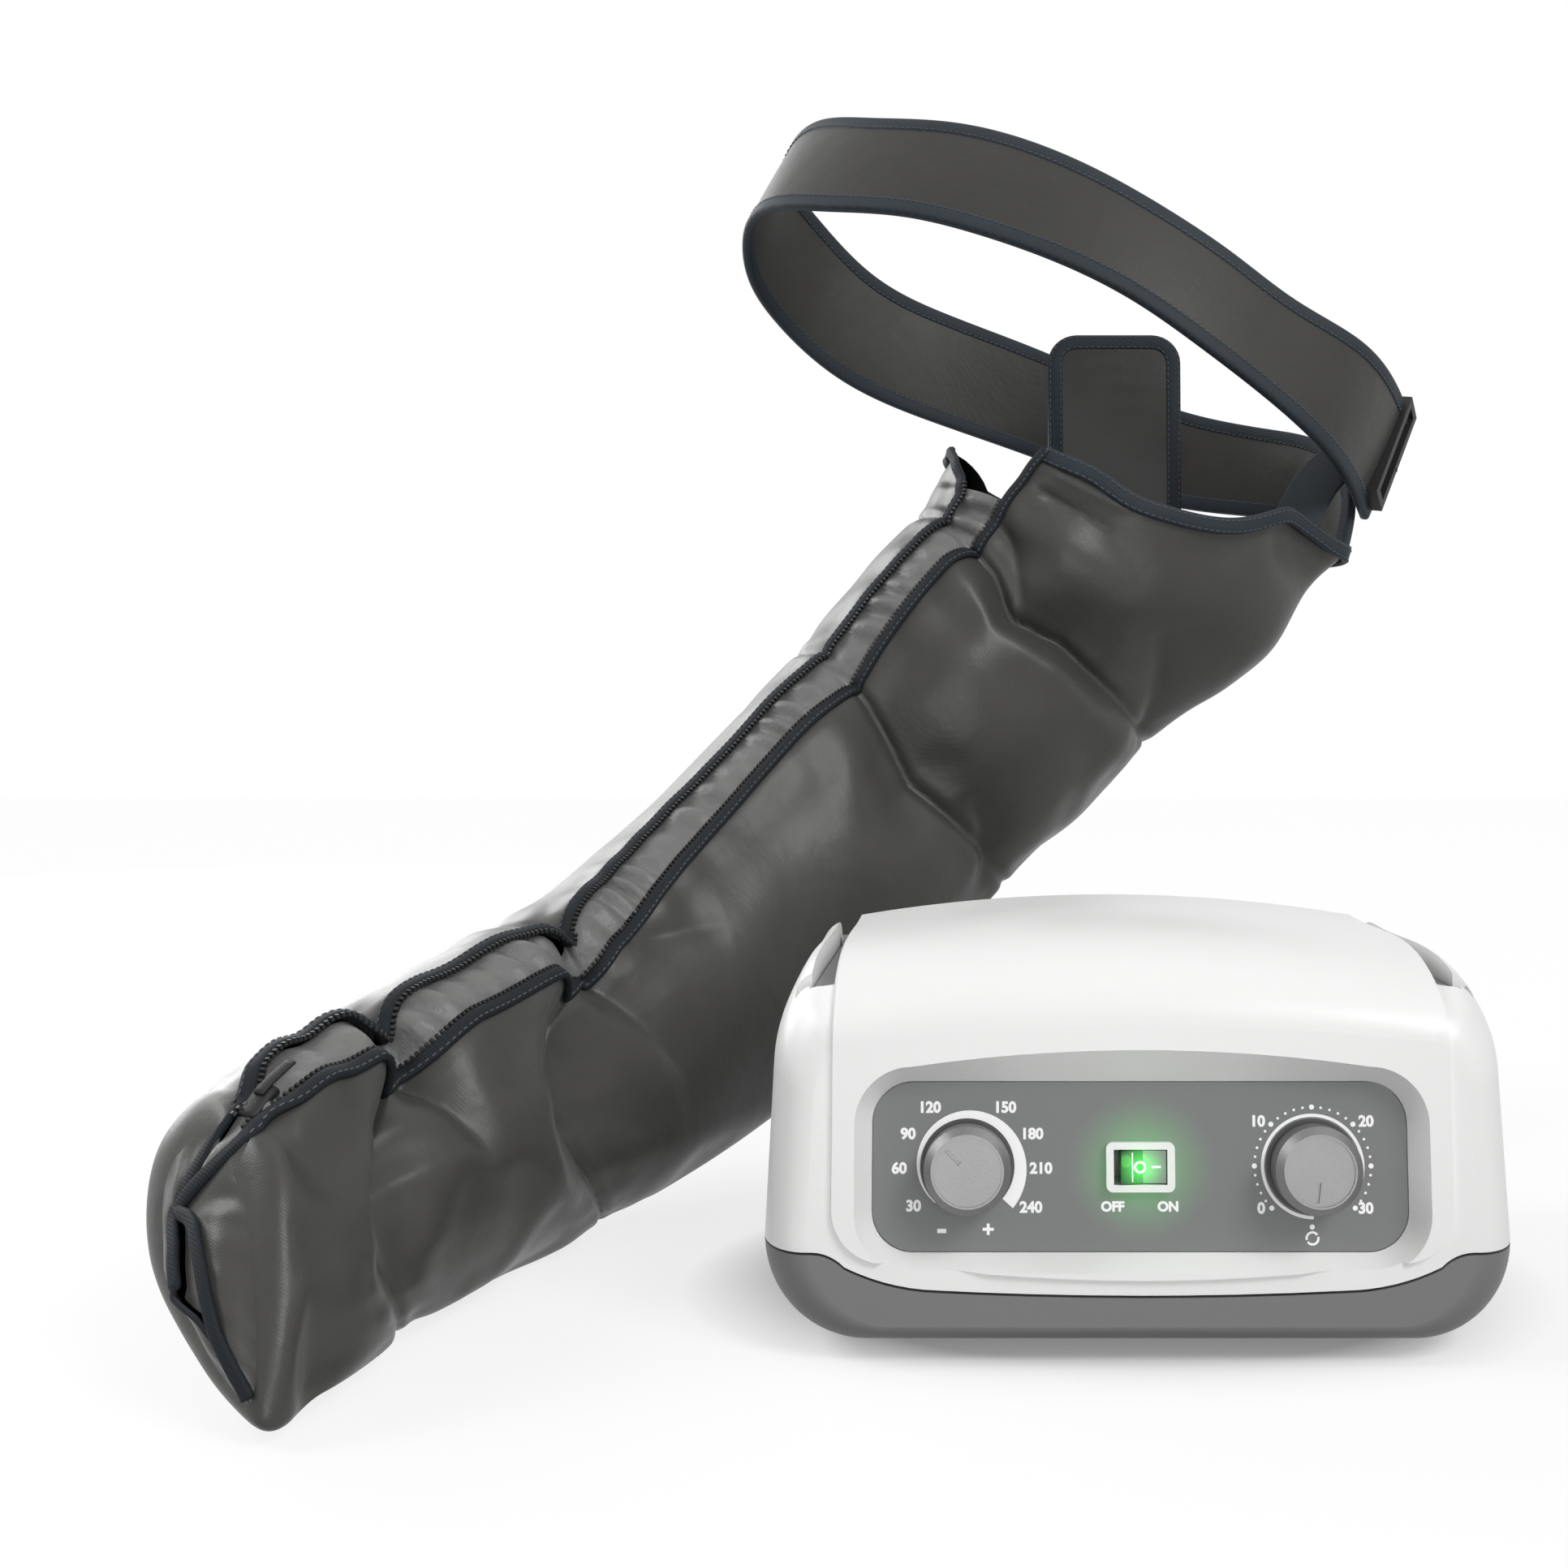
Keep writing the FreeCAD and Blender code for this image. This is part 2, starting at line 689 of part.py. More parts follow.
def make_upper(shell):
    """The upper shell with its posts, panel recess, handle grooves and rear openings."""
    posts = []
    holes = []
    ceiling = "foot_height + floor_wall + cavity_height + 1"
    for i, (x, y) in enumerate(screw_places()):
        start = "post_top + post_gap"
        posts.append(rod(f"upper_post_{i}", "post_radius", f"{ceiling} - ({start})", x, y, start))
        holes.append(rod(f"upper_hole_{i}", "screw_radius + screw_fit", "screw_length", x, y, "screw_seat"))
    funnel = on_panel(formed("recess_form", recess_form()))
    seat = on_panel(
        rounded_plate("panel_seat", "panel_width + panel_fit + panel_fit", "panel_height + panel_fit + panel_fit",
                      "panel_corner", "panel_thick + panel_fit"),
        out="-panel_thick - panel_fit",
    )
    window = plate("panel_window", "panel_width - 2 * panel_ledge", "panel_height - 2 * panel_ledge",
                   "front_wall * 2", out="-front_wall * 2")
    holes += [funnel, seat, window]
    groove_z = "unit_height - hinge_drop - arm_height / 2 - arm_slack"
    groove_start = "hinge_y - arm_height / 2 - arm_slack"
    for side in (1, -1):
        tag = "right" if side > 0 else "left"
        groove = block(f"groove_{tag}", "arm_width + 2 * arm_slack", f"ledge_y - ({groove_start}) + 1", "unit_height",
                       f"{side} * arm_x", f"(ledge_y + 1 + {groove_start}) / 2", groove_z)
        notch = block(f"notch_{tag}", "pin_reach", "arm_height - 2 * arm_slack", "unit_height",
                      f"{side} * (arm_x + arm_width / 2 + arm_slack + pin_reach / 2)", "hinge_y",
                      "unit_height - hinge_drop")
        bore = rod(f"pin_bore_{tag}", "pin_radius + pin_fit", "arm_width + 2 * (arm_slack + pin_reach)",
                   f"{side} * arm_x - arm_width / 2 - arm_slack - pin_reach", "hinge_y", "unit_height - hinge_drop",
                   X_AXIS)
        holes += [groove, notch, bore]
    holes.append(block("handle_ledge", "2 * (arm_x + arm_width / 2 + arm_slack)", "unit_depth", "unit_height",
                       "0", "ledge_y + unit_depth / 2", "unit_height - ledge_drop"))
    through = "2 * rear_wall + 2 * outlet_depth"
    rear = "unit_depth / 2"
    holes.append(block("outlet_opening", "outlet_length + 2 * panel_fit", through, "outlet_height + 2 * panel_fit",
                       "valve_x", rear, "outlet_z - outlet_height / 2 - panel_fit"))
    holes.append(block("inlet_opening", "inlet_length + 2 * panel_fit", through, "inlet_height + 2 * panel_fit",
                       "inlet_x", rear, "inlet_z - inlet_height / 2 - panel_fit"))
    keep("upper_casing", cut("upper", fuse("upper_with_posts", shell, *posts), *holes))


def make_fixings():
    """Casing screws and rubber feet."""
    screws = []
    for i, (x, y) in enumerate(screw_places()):
        shank = rod(f"screw_shank_{i}", "screw_radius", "screw_length", x, y, "screw_seat")
        head = rod(f"screw_head_{i}", "screw_head_radius", "screw_head_height", x, y, "screw_seat - screw_head_height")
        screws.append(fuse(f"screw_{i}", shank, head))
    keep("casing_screws", group("screws", *screws))
    feet = []
    for i, (sx, sy) in enumerate(((1, 1), (1, -1), (-1, 1), (-1, -1))):
        foot = doc.addObject("Part::Cone", f"foot_{i}")
        bind(foot, Radius1="foot_radius - foot_taper", Radius2="foot_radius", Height="foot_height")
        feet.append(stand(foot, f"{sx} * foot_x", f"{sy} * foot_y", "0"))
    keep("rubber_feet", group("feet", *feet))


# Front panel, dials and mains switch


def make_panel():
    """The grey plate with holes for the two dial bushes and the switch."""
    blank = on_panel(rounded_plate("panel_blank", "panel_width", "panel_height", "panel_corner", "panel_thick"),
                     out="-panel_thick")
    holes = [
        disc("bush_hole_left", "bush_radius + panel_fit", "panel_thick * 2", "-dial_x", out="-panel_thick * 1.5"),
        disc("bush_hole_right", "bush_radius + panel_fit", "panel_thick * 2", "dial_x", out="-panel_thick * 1.5"),
        plate("switch_hole", "switch_length + 2 * panel_fit", "switch_height + 2 * panel_fit", "panel_thick * 2",
              out="-panel_thick * 1.5"),
    ]
    keep("front_panel", cut("panel", blank, *holes))


def make_dial(tag, x, pointer):
    """A dial cap with a bevelled rim, a sunk face and a pointer groove, on its round shaft."""
    straight = "dial_height - dial_bevel - dial_lift"
    skirt = disc(f"{tag}_skirt", "dial_radius", straight, x, out="dial_lift")
    bevel = doc.addObject("Part::Cone", f"{tag}_bevel")
    bind(bevel, Radius1="dial_radius", Radius2="dial_radius - dial_bevel", Height="dial_bevel")
    on_panel(bevel, x, out="dial_height - dial_bevel")
    face = disc(f"{tag}_face", "face_radius", "face_sink * 2", x, out="dial_height - face_sink")
    bore = disc(f"{tag}_bore", "shaft_radius", "shaft_reach", x, out="0")
    turn = math.radians(size(pointer))
    groove = doc.addObject("Part::Box", f"{tag}_pointer")
    bind(groove, Length="pointer_length", Width="pointer_width", Height="face_sink + pointer_sink")
    reach = f"(face_radius - pointer_length - pointer_width)"
    on_panel(groove, f"{x} + {reach} * {math.cos(turn):.6f} + pointer_width / 2 * {math.sin(turn):.6f}",
             f"{reach} * {math.sin(turn):.6f} - pointer_width / 2 * {math.cos(turn):.6f}",
             "dial_height - face_sink - pointer_sink")
    lie = Rotation(X_AXIS, 90 - size("panel_lean")).multiply(Rotation(Z_AXIS, size(pointer)))
    groove.Placement = Placement(groove.Placement.Base, lie)
    keep(f"{tag}_knob", cut(f"{tag}_cap", fuse(f"{tag}_turned", skirt, bevel), face, bore, groove))
    tail = "regulator_depth / 2"
    keep(f"{tag}_shaft", disc(f"{tag}_spindle", "shaft_radius", f"shaft_reach + {tail} + panel_thick", x,
                              out=f"-panel_thick - {tail}"))


def make_bush(tag, x):
    """The threaded bush in front of a control's body, with the shaft's bore through both."""
    bush = disc(f"{tag}_bush", "bush_radius", "panel_thick + nut_thick", x, out="-panel_thick")
    bore = disc(f"{tag}_bush_bore", "shaft_radius + shaft_fit", "regulator_depth * 2", x,
                out="-panel_thick - regulator_depth / 2 - shaft_fit")
    return bush, bore


def make_controls():
    """The pressure regulator and the timer behind the panel, and the nuts that hold them."""
    bush, bore = make_bush("regulator", "-dial_x")
    can = disc("regulator_can", "regulator_radius", "regulator_depth", "-dial_x", out="-panel_thick - regulator_depth")
    keep("pressure_regulator", cut("regulator", fuse("regulator_solid", can, bush), bore))
    bush, bore = make_bush("timer", "dial_x")
    case = plate("timer_case", "timer_side", "timer_side", "timer_depth", "dial_x", out="-panel_thick - timer_depth")
    keep("time_switch", cut("timer", fuse("timer_solid", case, bush), bore))
    nuts = []
    for tag, x in (("left", "-dial_x"), ("right", "dial_x")):
        nut = doc.addObject("Part::Prism", f"nut_blank_{tag}")
        nut.Polygon = 6
        bind(nut, Circumradius="nut_radius", Height="nut_thick")
        on_panel(nut, x)
        nuts.append(cut(f"nut_{tag}", nut, disc(f"nut_hole_{tag}", "bush_radius", "nut_thick", x)))
    keep("panel_nuts", group("nuts", *nuts))


def make_switch():
    """The switch housing with its bezel, the rocker that tips in it and the terminal blades."""
    bezel = plate("bezel_block", "bezel_length", "bezel_height", "bezel_lift")
    normal = Rotation(X_AXIS, 90 - size("panel_lean")).multVec(Z_AXIS)
    bezel = rounded("bezel_round", bezel, size("bezel_corner"), runs_along(normal))
    case = plate("switch_case", "switch_length", "switch_height", "switch_depth", out="-switch_depth")
    well = plate("switch_well", "switch_length - 2 * switch_wall", "switch_height - 2 * switch_wall",
                 "switch_depth + bezel_lift", out="switch_wall - switch_depth")
    pin_hole = doc.addObject("Part::Cylinder", "rocker_pin_hole")
    reach = "(switch_height - 2 * switch_wall) / 2 + rocker_pin_reach + shaft_fit"
    bind(pin_hole, Radius="rocker_pin_radius + shaft_fit", Height=f"2 * ({reach})")
    on_panel(pin_hole, up=f"-({reach})", out="-rocker_pivot")
    lie_along_up(pin_hole)
    keep("switch_housing", cut("housing", fuse("housing_solid", bezel, case), well, pin_hole))
    rocker = on_panel(formed("rocker_form", rocker_shape()), out="-rocker_pivot")
    tip = Rotation(X_AXIS, 90 - size("panel_lean")).multiply(Rotation(Y_AXIS, size("rocker_tip")))
    rocker.Placement = Placement(rocker.Placement.Base, tip)
    keep("rocker", rocker)
    blades = []
    for i in (-1, 0, 1):
        blades.append(plate(f"blade_{i + 1}", "switch_wall", "switch_height / 2", "blade_length",
                            f"{i} * switch_length / 3", out="-switch_depth - blade_length"))
    keep("switch_terminals", group("blades", *blades))


def lie_along_up(item):
    """Turns a round bar of the front panel's frame so that it runs up the panel."""
    up = Rotation(X_AXIS, 90 - size("panel_lean")).multVec(Y_AXIS)
    item.Placement = Placement(item.Placement.Base, Rotation(Z_AXIS, up))


def rocker_shape():
    """The rocker about its pivot: a dished top, sides that clear the well, and a pin through it."""
    half, rise = size("rocker_length") / 2, size("rocker_rise") + size("rocker_pivot")
    dish, depth, height = size("rocker_dish"), size("rocker_depth"), size("rocker_height")
    profile = [(-half, rise), (0, rise - dish), (half, rise), (0.9 * half, 0), (0.4 * half, -depth)]
    profile += [(-0.4 * half, -depth), (-0.9 * half, 0), (-half, rise)]
    points = [Vector(x, -height / 2, z) for x, z in profile]
    body = Part.Face(Part.makePolygon(points)).extrude(Vector(0, height, 0))
    reach = (size("switch_height") / 2 - size("switch_wall")) + size("rocker_pin_reach") - size("shaft_fit")
    pin = Part.makeCylinder(size("rocker_pin_radius"), 2 * reach, Vector(0, -reach, 0), Y_AXIS)
    return body.fuse(pin).removeSplitter()


# Carry handle


def make_handle():
    """The U-shaped handle, folded back: two arms in the roof grooves and a grip bar behind."""
    z = "unit_height - hinge_drop"
    length = "grip_y - hinge_y"
    pieces = []
    bores = []
    pins = []
    for side in (1, -1):
        tag = "right" if side > 0 else "left"
        inner = f"{side} * arm_x - arm_width / 2"
        pieces.append(block(f"arm_{tag}", "arm_width", length, "arm_height", f"{side} * arm_x",
                            "(grip_y + hinge_y) / 2", f"{z} - arm_height / 2"))
        pieces.append(rod(f"arm_eye_{tag}", "arm_height / 2", "arm_width", inner, "hinge_y", z, X_AXIS))
        bores.append(rod(f"arm_bore_{tag}", "pin_radius + pin_fit", "arm_width", inner, "hinge_y", z, X_AXIS))
        start = f"{side} * arm_x - arm_width / 2 - arm_slack - pin_reach + pin_fit"
        pins.append(rod(f"hinge_pin_{tag}", "pin_radius", "arm_width + 2 * (arm_slack + pin_reach - pin_fit)",
                        start, "hinge_y", z, X_AXIS))
    grip = rod("grip_bar", "grip_radius", "2 * arm_x + arm_width", "-arm_x - arm_width / 2", "grip_y",
               f"{z} + grip_rise", X_AXIS)
    keep("carry_handle", cut("handle", fuse("handle_solid", *pieces, grip), *bores))
    keep("handle_pins", group("hinge_pins", *pins))


# Air system


def make_pump():
    """The air pump with its two diaphragm heads and outlet nipple, on four rubber bushes."""
    deck = "foot_height + floor_wall + pump_foot_height"
    case = block("pump_case", "pump_length", "pump_width", "pump_height", "pump_x", "pump_y", deck)
    case = rounded("pump_case_round", case, size("pump_round"), runs_along(X_AXIS))
    middle = f"{deck} + pump_height / 2"
    full = "pump_length + 2 * pump_head_length"
    heads = rod("pump_heads", "pump_head_radius", full, f"pump_x - ({full}) / 2", "pump_y", middle, X_AXIS)
    nipple = rod("pump_nipple", "nipple_radius", "nipple_height + pump_round", "pump_x + pump_length / 4", "pump_y",
                 f"{deck} + pump_height - pump_round")
    keep("air_pump", fuse("pump", case, heads, nipple))
    bushes = []
    for i, (sx, sy) in enumerate(((1, 1), (1, -1), (-1, 1), (-1, -1))):
        x = f"pump_x + {sx} * (pump_length / 2 - pump_foot_inset)"
        y = f"pump_y + {sy} * (pump_width / 2 - pump_foot_inset)"
        bushes.append(rod(f"pump_bush_{i}", "pump_foot_radius", "pump_foot_height", x, y, "foot_height + floor_wall"))
    keep("pump_bushes", group("bushes", *bushes))


def nipple_x(i):
    """The formula of an outlet's place across the unit."""
    return f"valve_x + ({i} - (outlet_count - 1) / 2) * nipple_pitch"


def make_distributor():
    """The distributor that feeds one chamber after another: gear motor, cup, turning disc and lid."""
    floor = "foot_height + floor_wall"
    cup_z = f"{floor} + motor_height"
    motor = block("motor_case", "motor_side", "motor_side", "motor_height", "valve_x", "valve_y", floor)
    socket = rod("motor_socket", "shaft_radius + shaft_fit", "motor_height / 2", "valve_x", "valve_y",
                 f"{floor} + motor_height / 2")
    keep("valve_motor", cut("motor", motor, socket))
    cup = rod("cup_solid", "valve_radius", "valve_height", "valve_x", "valve_y", cup_z)
    hollow = rod("cup_hollow", "valve_radius - valve_wall", "valve_height", "valve_x", "valve_y", f"{cup_z} + valve_wall")
    hole = rod("cup_hole", "shaft_radius + shaft_fit", "valve_height", "valve_x", "valve_y", cup_z)
    keep("valve_cup", cut("cup", cup, hollow, hole))
    disc_z = f"{cup_z} + valve_wall + rotor_gap"
    wheel = rod("rotor_disc", "valve_radius - valve_wall - rotor_gap", "rotor_thick", "valve_x", "valve_y", disc_z)
    stub = rod("rotor_stub", "shaft_radius", f"valve_wall + rotor_gap + motor_height / 2 - rotor_gap", "valve_x",
               "valve_y", f"{floor} + motor_height / 2 + rotor_gap")
    port = rod("rotor_port", "nipple_radius", "valve_height", "valve_x + nipple_pitch / 2", "valve_y + nipple_row", disc_z)
    keep("valve_rotor", cut("rotor", fuse("rotor_solid", wheel, stub), port))
    lid_z = f"{cup_z} + valve_height"
    pieces = [rod("lid_plate", "valve_radius", "lid_thick", "valve_x", "valve_y", lid_z)]
    bores = []
    ports = [(nipple_x(i), "valve_y + nipple_row") for i in range(int(size("outlet_count")))]
    ports.append(("valve_x", "valve_y - nipple_row"))
    for i, (x, y) in enumerate(ports):
        pieces.append(rod(f"lid_nipple_{i}", "nipple_radius", "lid_thick + nipple_height", x, y, lid_z))
        bores.append(rod(f"lid_bore_{i}", "nipple_bore", "lid_thick + nipple_height", x, y, lid_z))
    keep("valve_lid", cut("lid", fuse("lid_solid", *pieces), *bores))


def tube_along(points):
    """A rubber tube that slips over nipples, along straight runs joined by bends."""
    bend = size("tube_bend")
    edges = []
    start = points[0]
    for before, corner, after in zip(points, points[1:], points[2:]):
        back = (before - corner).normalize()
        ahead = (after - corner).normalize()
        half_turn = (math.pi - back.getAngle(ahead)) / 2
        set_back = bend * math.tan(half_turn)
        a, c = corner + back * set_back, corner + ahead * set_back
        centre = corner + (back + ahead).normalize() * (bend / math.cos(half_turn))
        middle = centre + (corner - centre).normalize() * bend
        edges += [line(start, a), arc(a, middle, c)]
        start = c
    edges.append(line(start, points[-1]))
    path = Part.Wire(edges)
    first = (points[1] - points[0]).normalize()
    bore = size("nipple_radius") + size("tube_fit")

    def pipe(radius):
        ring = Part.Wire(Part.makeCircle(radius, points[0], first))
        return path.makePipeShell([ring], True, False)

    return pipe(bore + size("tube_wall")).cut(pipe(bore))


def make_tubes():
    """The supply tube from pump to distributor, and one tube from each port to its outlet."""
    floor = size("foot_height") + size("floor_wall")
    lid_top = floor + size("motor_height") + size("valve_height") + size("lid_thick")
    pump_top = floor + size("pump_foot_height") + size("pump_height")
    gap = size("tube_fit")
    start = Vector(size("pump_x") + size("pump_length") / 4, size("pump_y"), pump_top + gap)
    end = Vector(size("valve_x"), size("valve_y") - size("nipple_row"), lid_top + gap)
    over = max(pump_top, lid_top) + size("nipple_height") + size("tube_bend")
    route = [start, Vector(start.x, start.y, over), Vector(end.x, end.y, over), end]
    keep("supply_tube", stand(formed("supply_tube_form", tube_along(route))))
    tubes = []
    first = size("valve_x") - (size("outlet_count") - 1) / 2 * size("nipple_pitch")
    inside = size("unit_depth") / 2 + size("outlet_proud") - size("outlet_depth")
    for i in range(int(size("outlet_count"))):
        x = first + i * size("nipple_pitch")
        y = size("valve_y") + size("nipple_row")
        z = size("outlet_z")
        route = [Vector(x, y, lid_top + gap), Vector(x, y, z), Vector(x, inside - gap, z)]
        tubes.append(stand(formed(f"outlet_tube_{i}", tube_along(route))))
    keep("outlet_tubes", group("tubes", *tubes))


def make_outlets():
    """The rear block that takes the sleeve's hose plug, with an inner nipple for each tube."""
    front = "unit_depth / 2 + outlet_proud - outlet_depth"
    body = block("outlet_body", "outlet_length", "outlet_depth", "outlet_height", "valve_x",
                 f"{front} + outlet_depth / 2", "outlet_z - outlet_height / 2")
    pieces = [rounded("outlet_round", body, size("outlet_height") / 5, runs_along(Y_AXIS))]
    bores = []
    for i in range(int(size("outlet_count"))):
        x = nipple_x(i)
        pieces.append(rod(f"outlet_nipple_{i}", "nipple_radius", "nipple_height + 1", x, f"{front} - nipple_height",
                          "outlet_z", Y_AXIS))
        bores.append(rod(f"outlet_passage_{i}", "nipple_bore", "nipple_height + outlet_depth", x,
                         f"{front} - nipple_height", "outlet_z", Y_AXIS))
        bores.append(rod(f"outlet_bore_{i}", "outlet_radius", "outlet_bore_depth", x,
                         f"{front} + outlet_depth - outlet_bore_depth", "outlet_z", Y_AXIS))
    keep("air_outlet_block", cut("outlets", fuse("outlet_solid", *pieces), *bores))


def make_electrics():
    """The mains inlet on the rear wall, the circuit board and its transformer."""
    rear = "unit_depth / 2 + outlet_proud"
    body = block("inlet_body", "inlet_length", "inlet_depth", "inlet_height", "inlet_x",
                 f"{rear} - inlet_depth / 2", "inlet_z - inlet_height / 2")
    lobes = []
    pins = []
    for i, side in enumerate((1, -1)):
        x = f"inlet_x + {side} * inlet_pin_pitch / 2"
        lobes.append(rod(f"inlet_lobe_{i}", "inlet_lobe", "inlet_recess", x, f"{rear} - inlet_recess", "inlet_z", Y_AXIS))
        pins.append(rod(f"inlet_pin_{i}", "inlet_pin_radius", "inlet_pin_length", x, f"{rear} - inlet_recess",
                        "inlet_z", Y_AXIS))
    waist = block("inlet_waist", "inlet_pin_pitch", "inlet_recess", "1.4 * inlet_lobe", "inlet_x",
                  f"{rear} - inlet_recess / 2", "inlet_z - 0.7 * inlet_lobe")
    keep("mains_inlet", cut("inlet", body, *lobes, waist))
    keep("inlet_pins", group("inlet_pin_pair", *pins))
    deck = "foot_height + floor_wall + board_post"
    keep("circuit_board", block("board", "board_length", "board_width", "board_thick", "board_x", "board_y", deck))
    core = block("transformer_core", "transformer_length", "transformer_width * 0.5", "transformer_height", "board_x",
                 "board_y", f"{deck} + board_thick")
    coil = block("transformer_coil", "transformer_length * 0.6", "transformer_width", "transformer_height * 0.8",
                 "board_x", "board_y", f"{deck} + board_thick")
    keep("transformer", fuse("transformer_solid", core, coil))


# Arm sleeve


class Section:
    """One cross-section of the sleeve: its middle, its directions and its oval."""

    def __init__(self, along, draw=0.0):
        place = arm_line.getParameterByLength(along * arm_line.Length)
        self.middle = arm_line.valueAt(place)
        self.ahead = Vector(arm_line.tangentAt(place)).normalize()
        turn = math.radians(size("near_turn"))
        facing = Vector(math.cos(turn), math.sin(turn), size("near_rise") * (1 - along))
        self.near = (facing - self.ahead * facing.dot(self.ahead)).normalize()
        self.up = self.near.cross(self.ahead).normalize()
        if self.up.z < 0:
            self.up = self.up * -1
        self.tall = between("hand_tall", "elbow_tall", "mouth_tall", along) / 2 - draw
        self.thick = between("hand_thick", "elbow_thick", "mouth_thick", along) / 2 - 0.7 * draw
        hand = min(1.0, max(0.0, 1 - along / SEAM_PLACES[1]))
        self.point_share = size("arm_point") + (size("hand_point") - size("arm_point")) * hand
        self.wall = size("chamber_wall") + (size("hand_wall") - size("chamber_wall")) * hand
        mouth = max(0.0, (along - SEAM_PLACES[-2]) / (1 - SEAM_PLACES[-2]))
        self.slant = math.tan(math.radians(size("hand_slant"))) * hand
        self.slant -= math.tan(math.radians(size("mouth_slant"))) * mouth

    def spot(self, turn, inward=0.0):
        """A point of the oval at an angle from the top towards the near side, in degrees."""
        a = math.radians(turn)
        rise = (self.tall - inward) * math.cos(a)
        side = (self.thick - inward) * math.sin(a) * (1 + self.point_share * math.cos(a))
        return self.middle + self.up * rise + self.near * side + self.ahead * (rise * self.slant)

    def half_gap(self):
        """Half of the zip's opening, as an angle of the oval."""
        here = self.spot(size("zip_turn")) - self.middle
        return math.degrees(size("zip_gap") / 2 / here.Length)

    def zip_edge(self, side):
        """The outer end of the wall beside the zip, its outward direction and the way into the gap."""
        turn = size("zip_turn") + side * self.half_gap()
        outer = self.spot(turn)
        out = (outer - self.spot(turn, self.wall)).normalize()
        other = self.spot(size("zip_turn") - side * self.half_gap())
        across = other - outer
        into = (across - out * across.dot(out)).normalize()
        return outer, out, into


def sleeve_axis():
    """The line through the middle of the arm, from the hand end over the elbow to the mouth."""
    points = [Vector(*(size(f"{place}_{c}") for c in "xyz")) for place in ARM_PLACES]
    axis = Part.BSplineCurve()
    axis.interpolate(points)
    return axis.toShape()


arm_line = sleeve_axis()


def between(hand, elbow, mouth, along):
    """A size that runs from the hand end over the elbow to the mouth."""
    bend = SEAM_PLACES[2]
    if along < bend:
        return size(hand) + (size(elbow) - size(hand)) * along / bend
    return size(elbow) + (size(mouth) - size(elbow)) * (along - bend) / (1 - bend)


def chamber_wire(section):
    """The wall of a chamber: round the arm from one side of the zip to the other, and back inside."""
    start = size("zip_turn") + section.half_gap()
    step = (360 - 2 * section.half_gap()) / 8
    outer = [section.spot(start + i * step) for i in range(9)]
    inner = [section.spot(start + i * step, section.wall) for i in range(8, -1, -1)]
    edges = [arc(*outer[i : i + 3]) for i in range(0, 8, 2)]
    edges.append(line(outer[-1], inner[0]))
    edges += [arc(*inner[i : i + 3]) for i in range(0, 8, 2)]
    edges.append(line(inner[-1], outer[0]))
    return Part.Wire(edges)


def tape_wire(section, side):
    """A zip tape on the edge of the wall."""
    outer, out, into = section.zip_edge(side)
    near = outer + into * size("tape_fit")
    far = near + into * size("tape_thick")
    low, high = out * -size("tape_depth"), out * size("tape_rise")
    return Part.makePolygon([near + low, near + high, far + high, far + low, near + low])


def gusset_wire(section):
    """The puffed strip of lining between the two tapes."""
    clear = 2 * size("tape_fit") + size("tape_thick")
    corners = []
    for side in (1, -1):
        outer, out, into = section.zip_edge(side)
        top = outer + into * clear - out * size("tape_rise")
        corners += [top, top - out * size("gusset_depth")]
    top_near, low_near, top_far, low_far = corners
    rise = ((top_near + top_far) - (low_near + low_far)).normalize() * size("gusset_puff")
    crown = (top_near + top_far) * 0.5 + rise
    edges = [arc(top_near, crown, top_far), line(top_far, low_far), line(low_far, low_near), line(low_near, top_near)]
    return Part.Wire(edges)


def chamber_stations(i, gap):
    """The places along the arm that shape a chamber, with how far the wall is drawn in at each."""
    length = arm_line.Length
    start = SEAM_PLACES[i] + (gap / 2 / length if i else 0)
    last = i == len(CHAMBER_NAMES) - 1
    end = SEAM_PLACES[i + 1] - (0 if last else gap / 2 / length)
    draw = size("seam_draw")
    stations = []
    for share in (0, 0.25, 0.5, 0.75, 1):
        edge_draw = (draw if i else draw / 2) if share < 0.5 else (0 if last else draw)
        stations.append((start + (end - start) * share, edge_draw * (1 - math.sin(math.pi * share))))
    return stations


def strip(name, wire_at):
    """A strip along the zip, swelling with each chamber, drawn in at each seam and ending at the mouth."""
    runs = []
    for i in range(len(CHAMBER_NAMES)):
        wires = [wire_at(Section(*station)) for station in chamber_stations(i, 0)]
        runs.append(Part.makeLoft(wires, True, False))
    whole = runs[0].fuse(runs[1:]).removeSplitter()
    return cut(f"{name}_to_mouth", stand(formed(name, whole)), stand(formed(f"{name}_end", mouth_cutter(0))))


def mouth_cutter(back):
    """A cylinder across the arm that dips the mouth's edge between its corners, moved back by a margin."""
    mouth = Section(1.0)
    reach = mouth.tall / math.cos(math.radians(size("mouth_slant")))
    dip = size("mouth_dip")
    radius = (reach**2 + dip**2) / (2 * dip)
    chord = (mouth.up + mouth.ahead * mouth.slant).normalize()
    away = mouth.near.cross(chord).normalize()
    if away.dot(mouth.ahead) < 0:
        away = away * -1
    centre = mouth.middle + away * (radius - dip - size("mouth_trim") - back)
    span = 2 * mouth.tall
    return Part.makeCylinder(radius, 2 * span, centre - mouth.near * span, mouth.near)


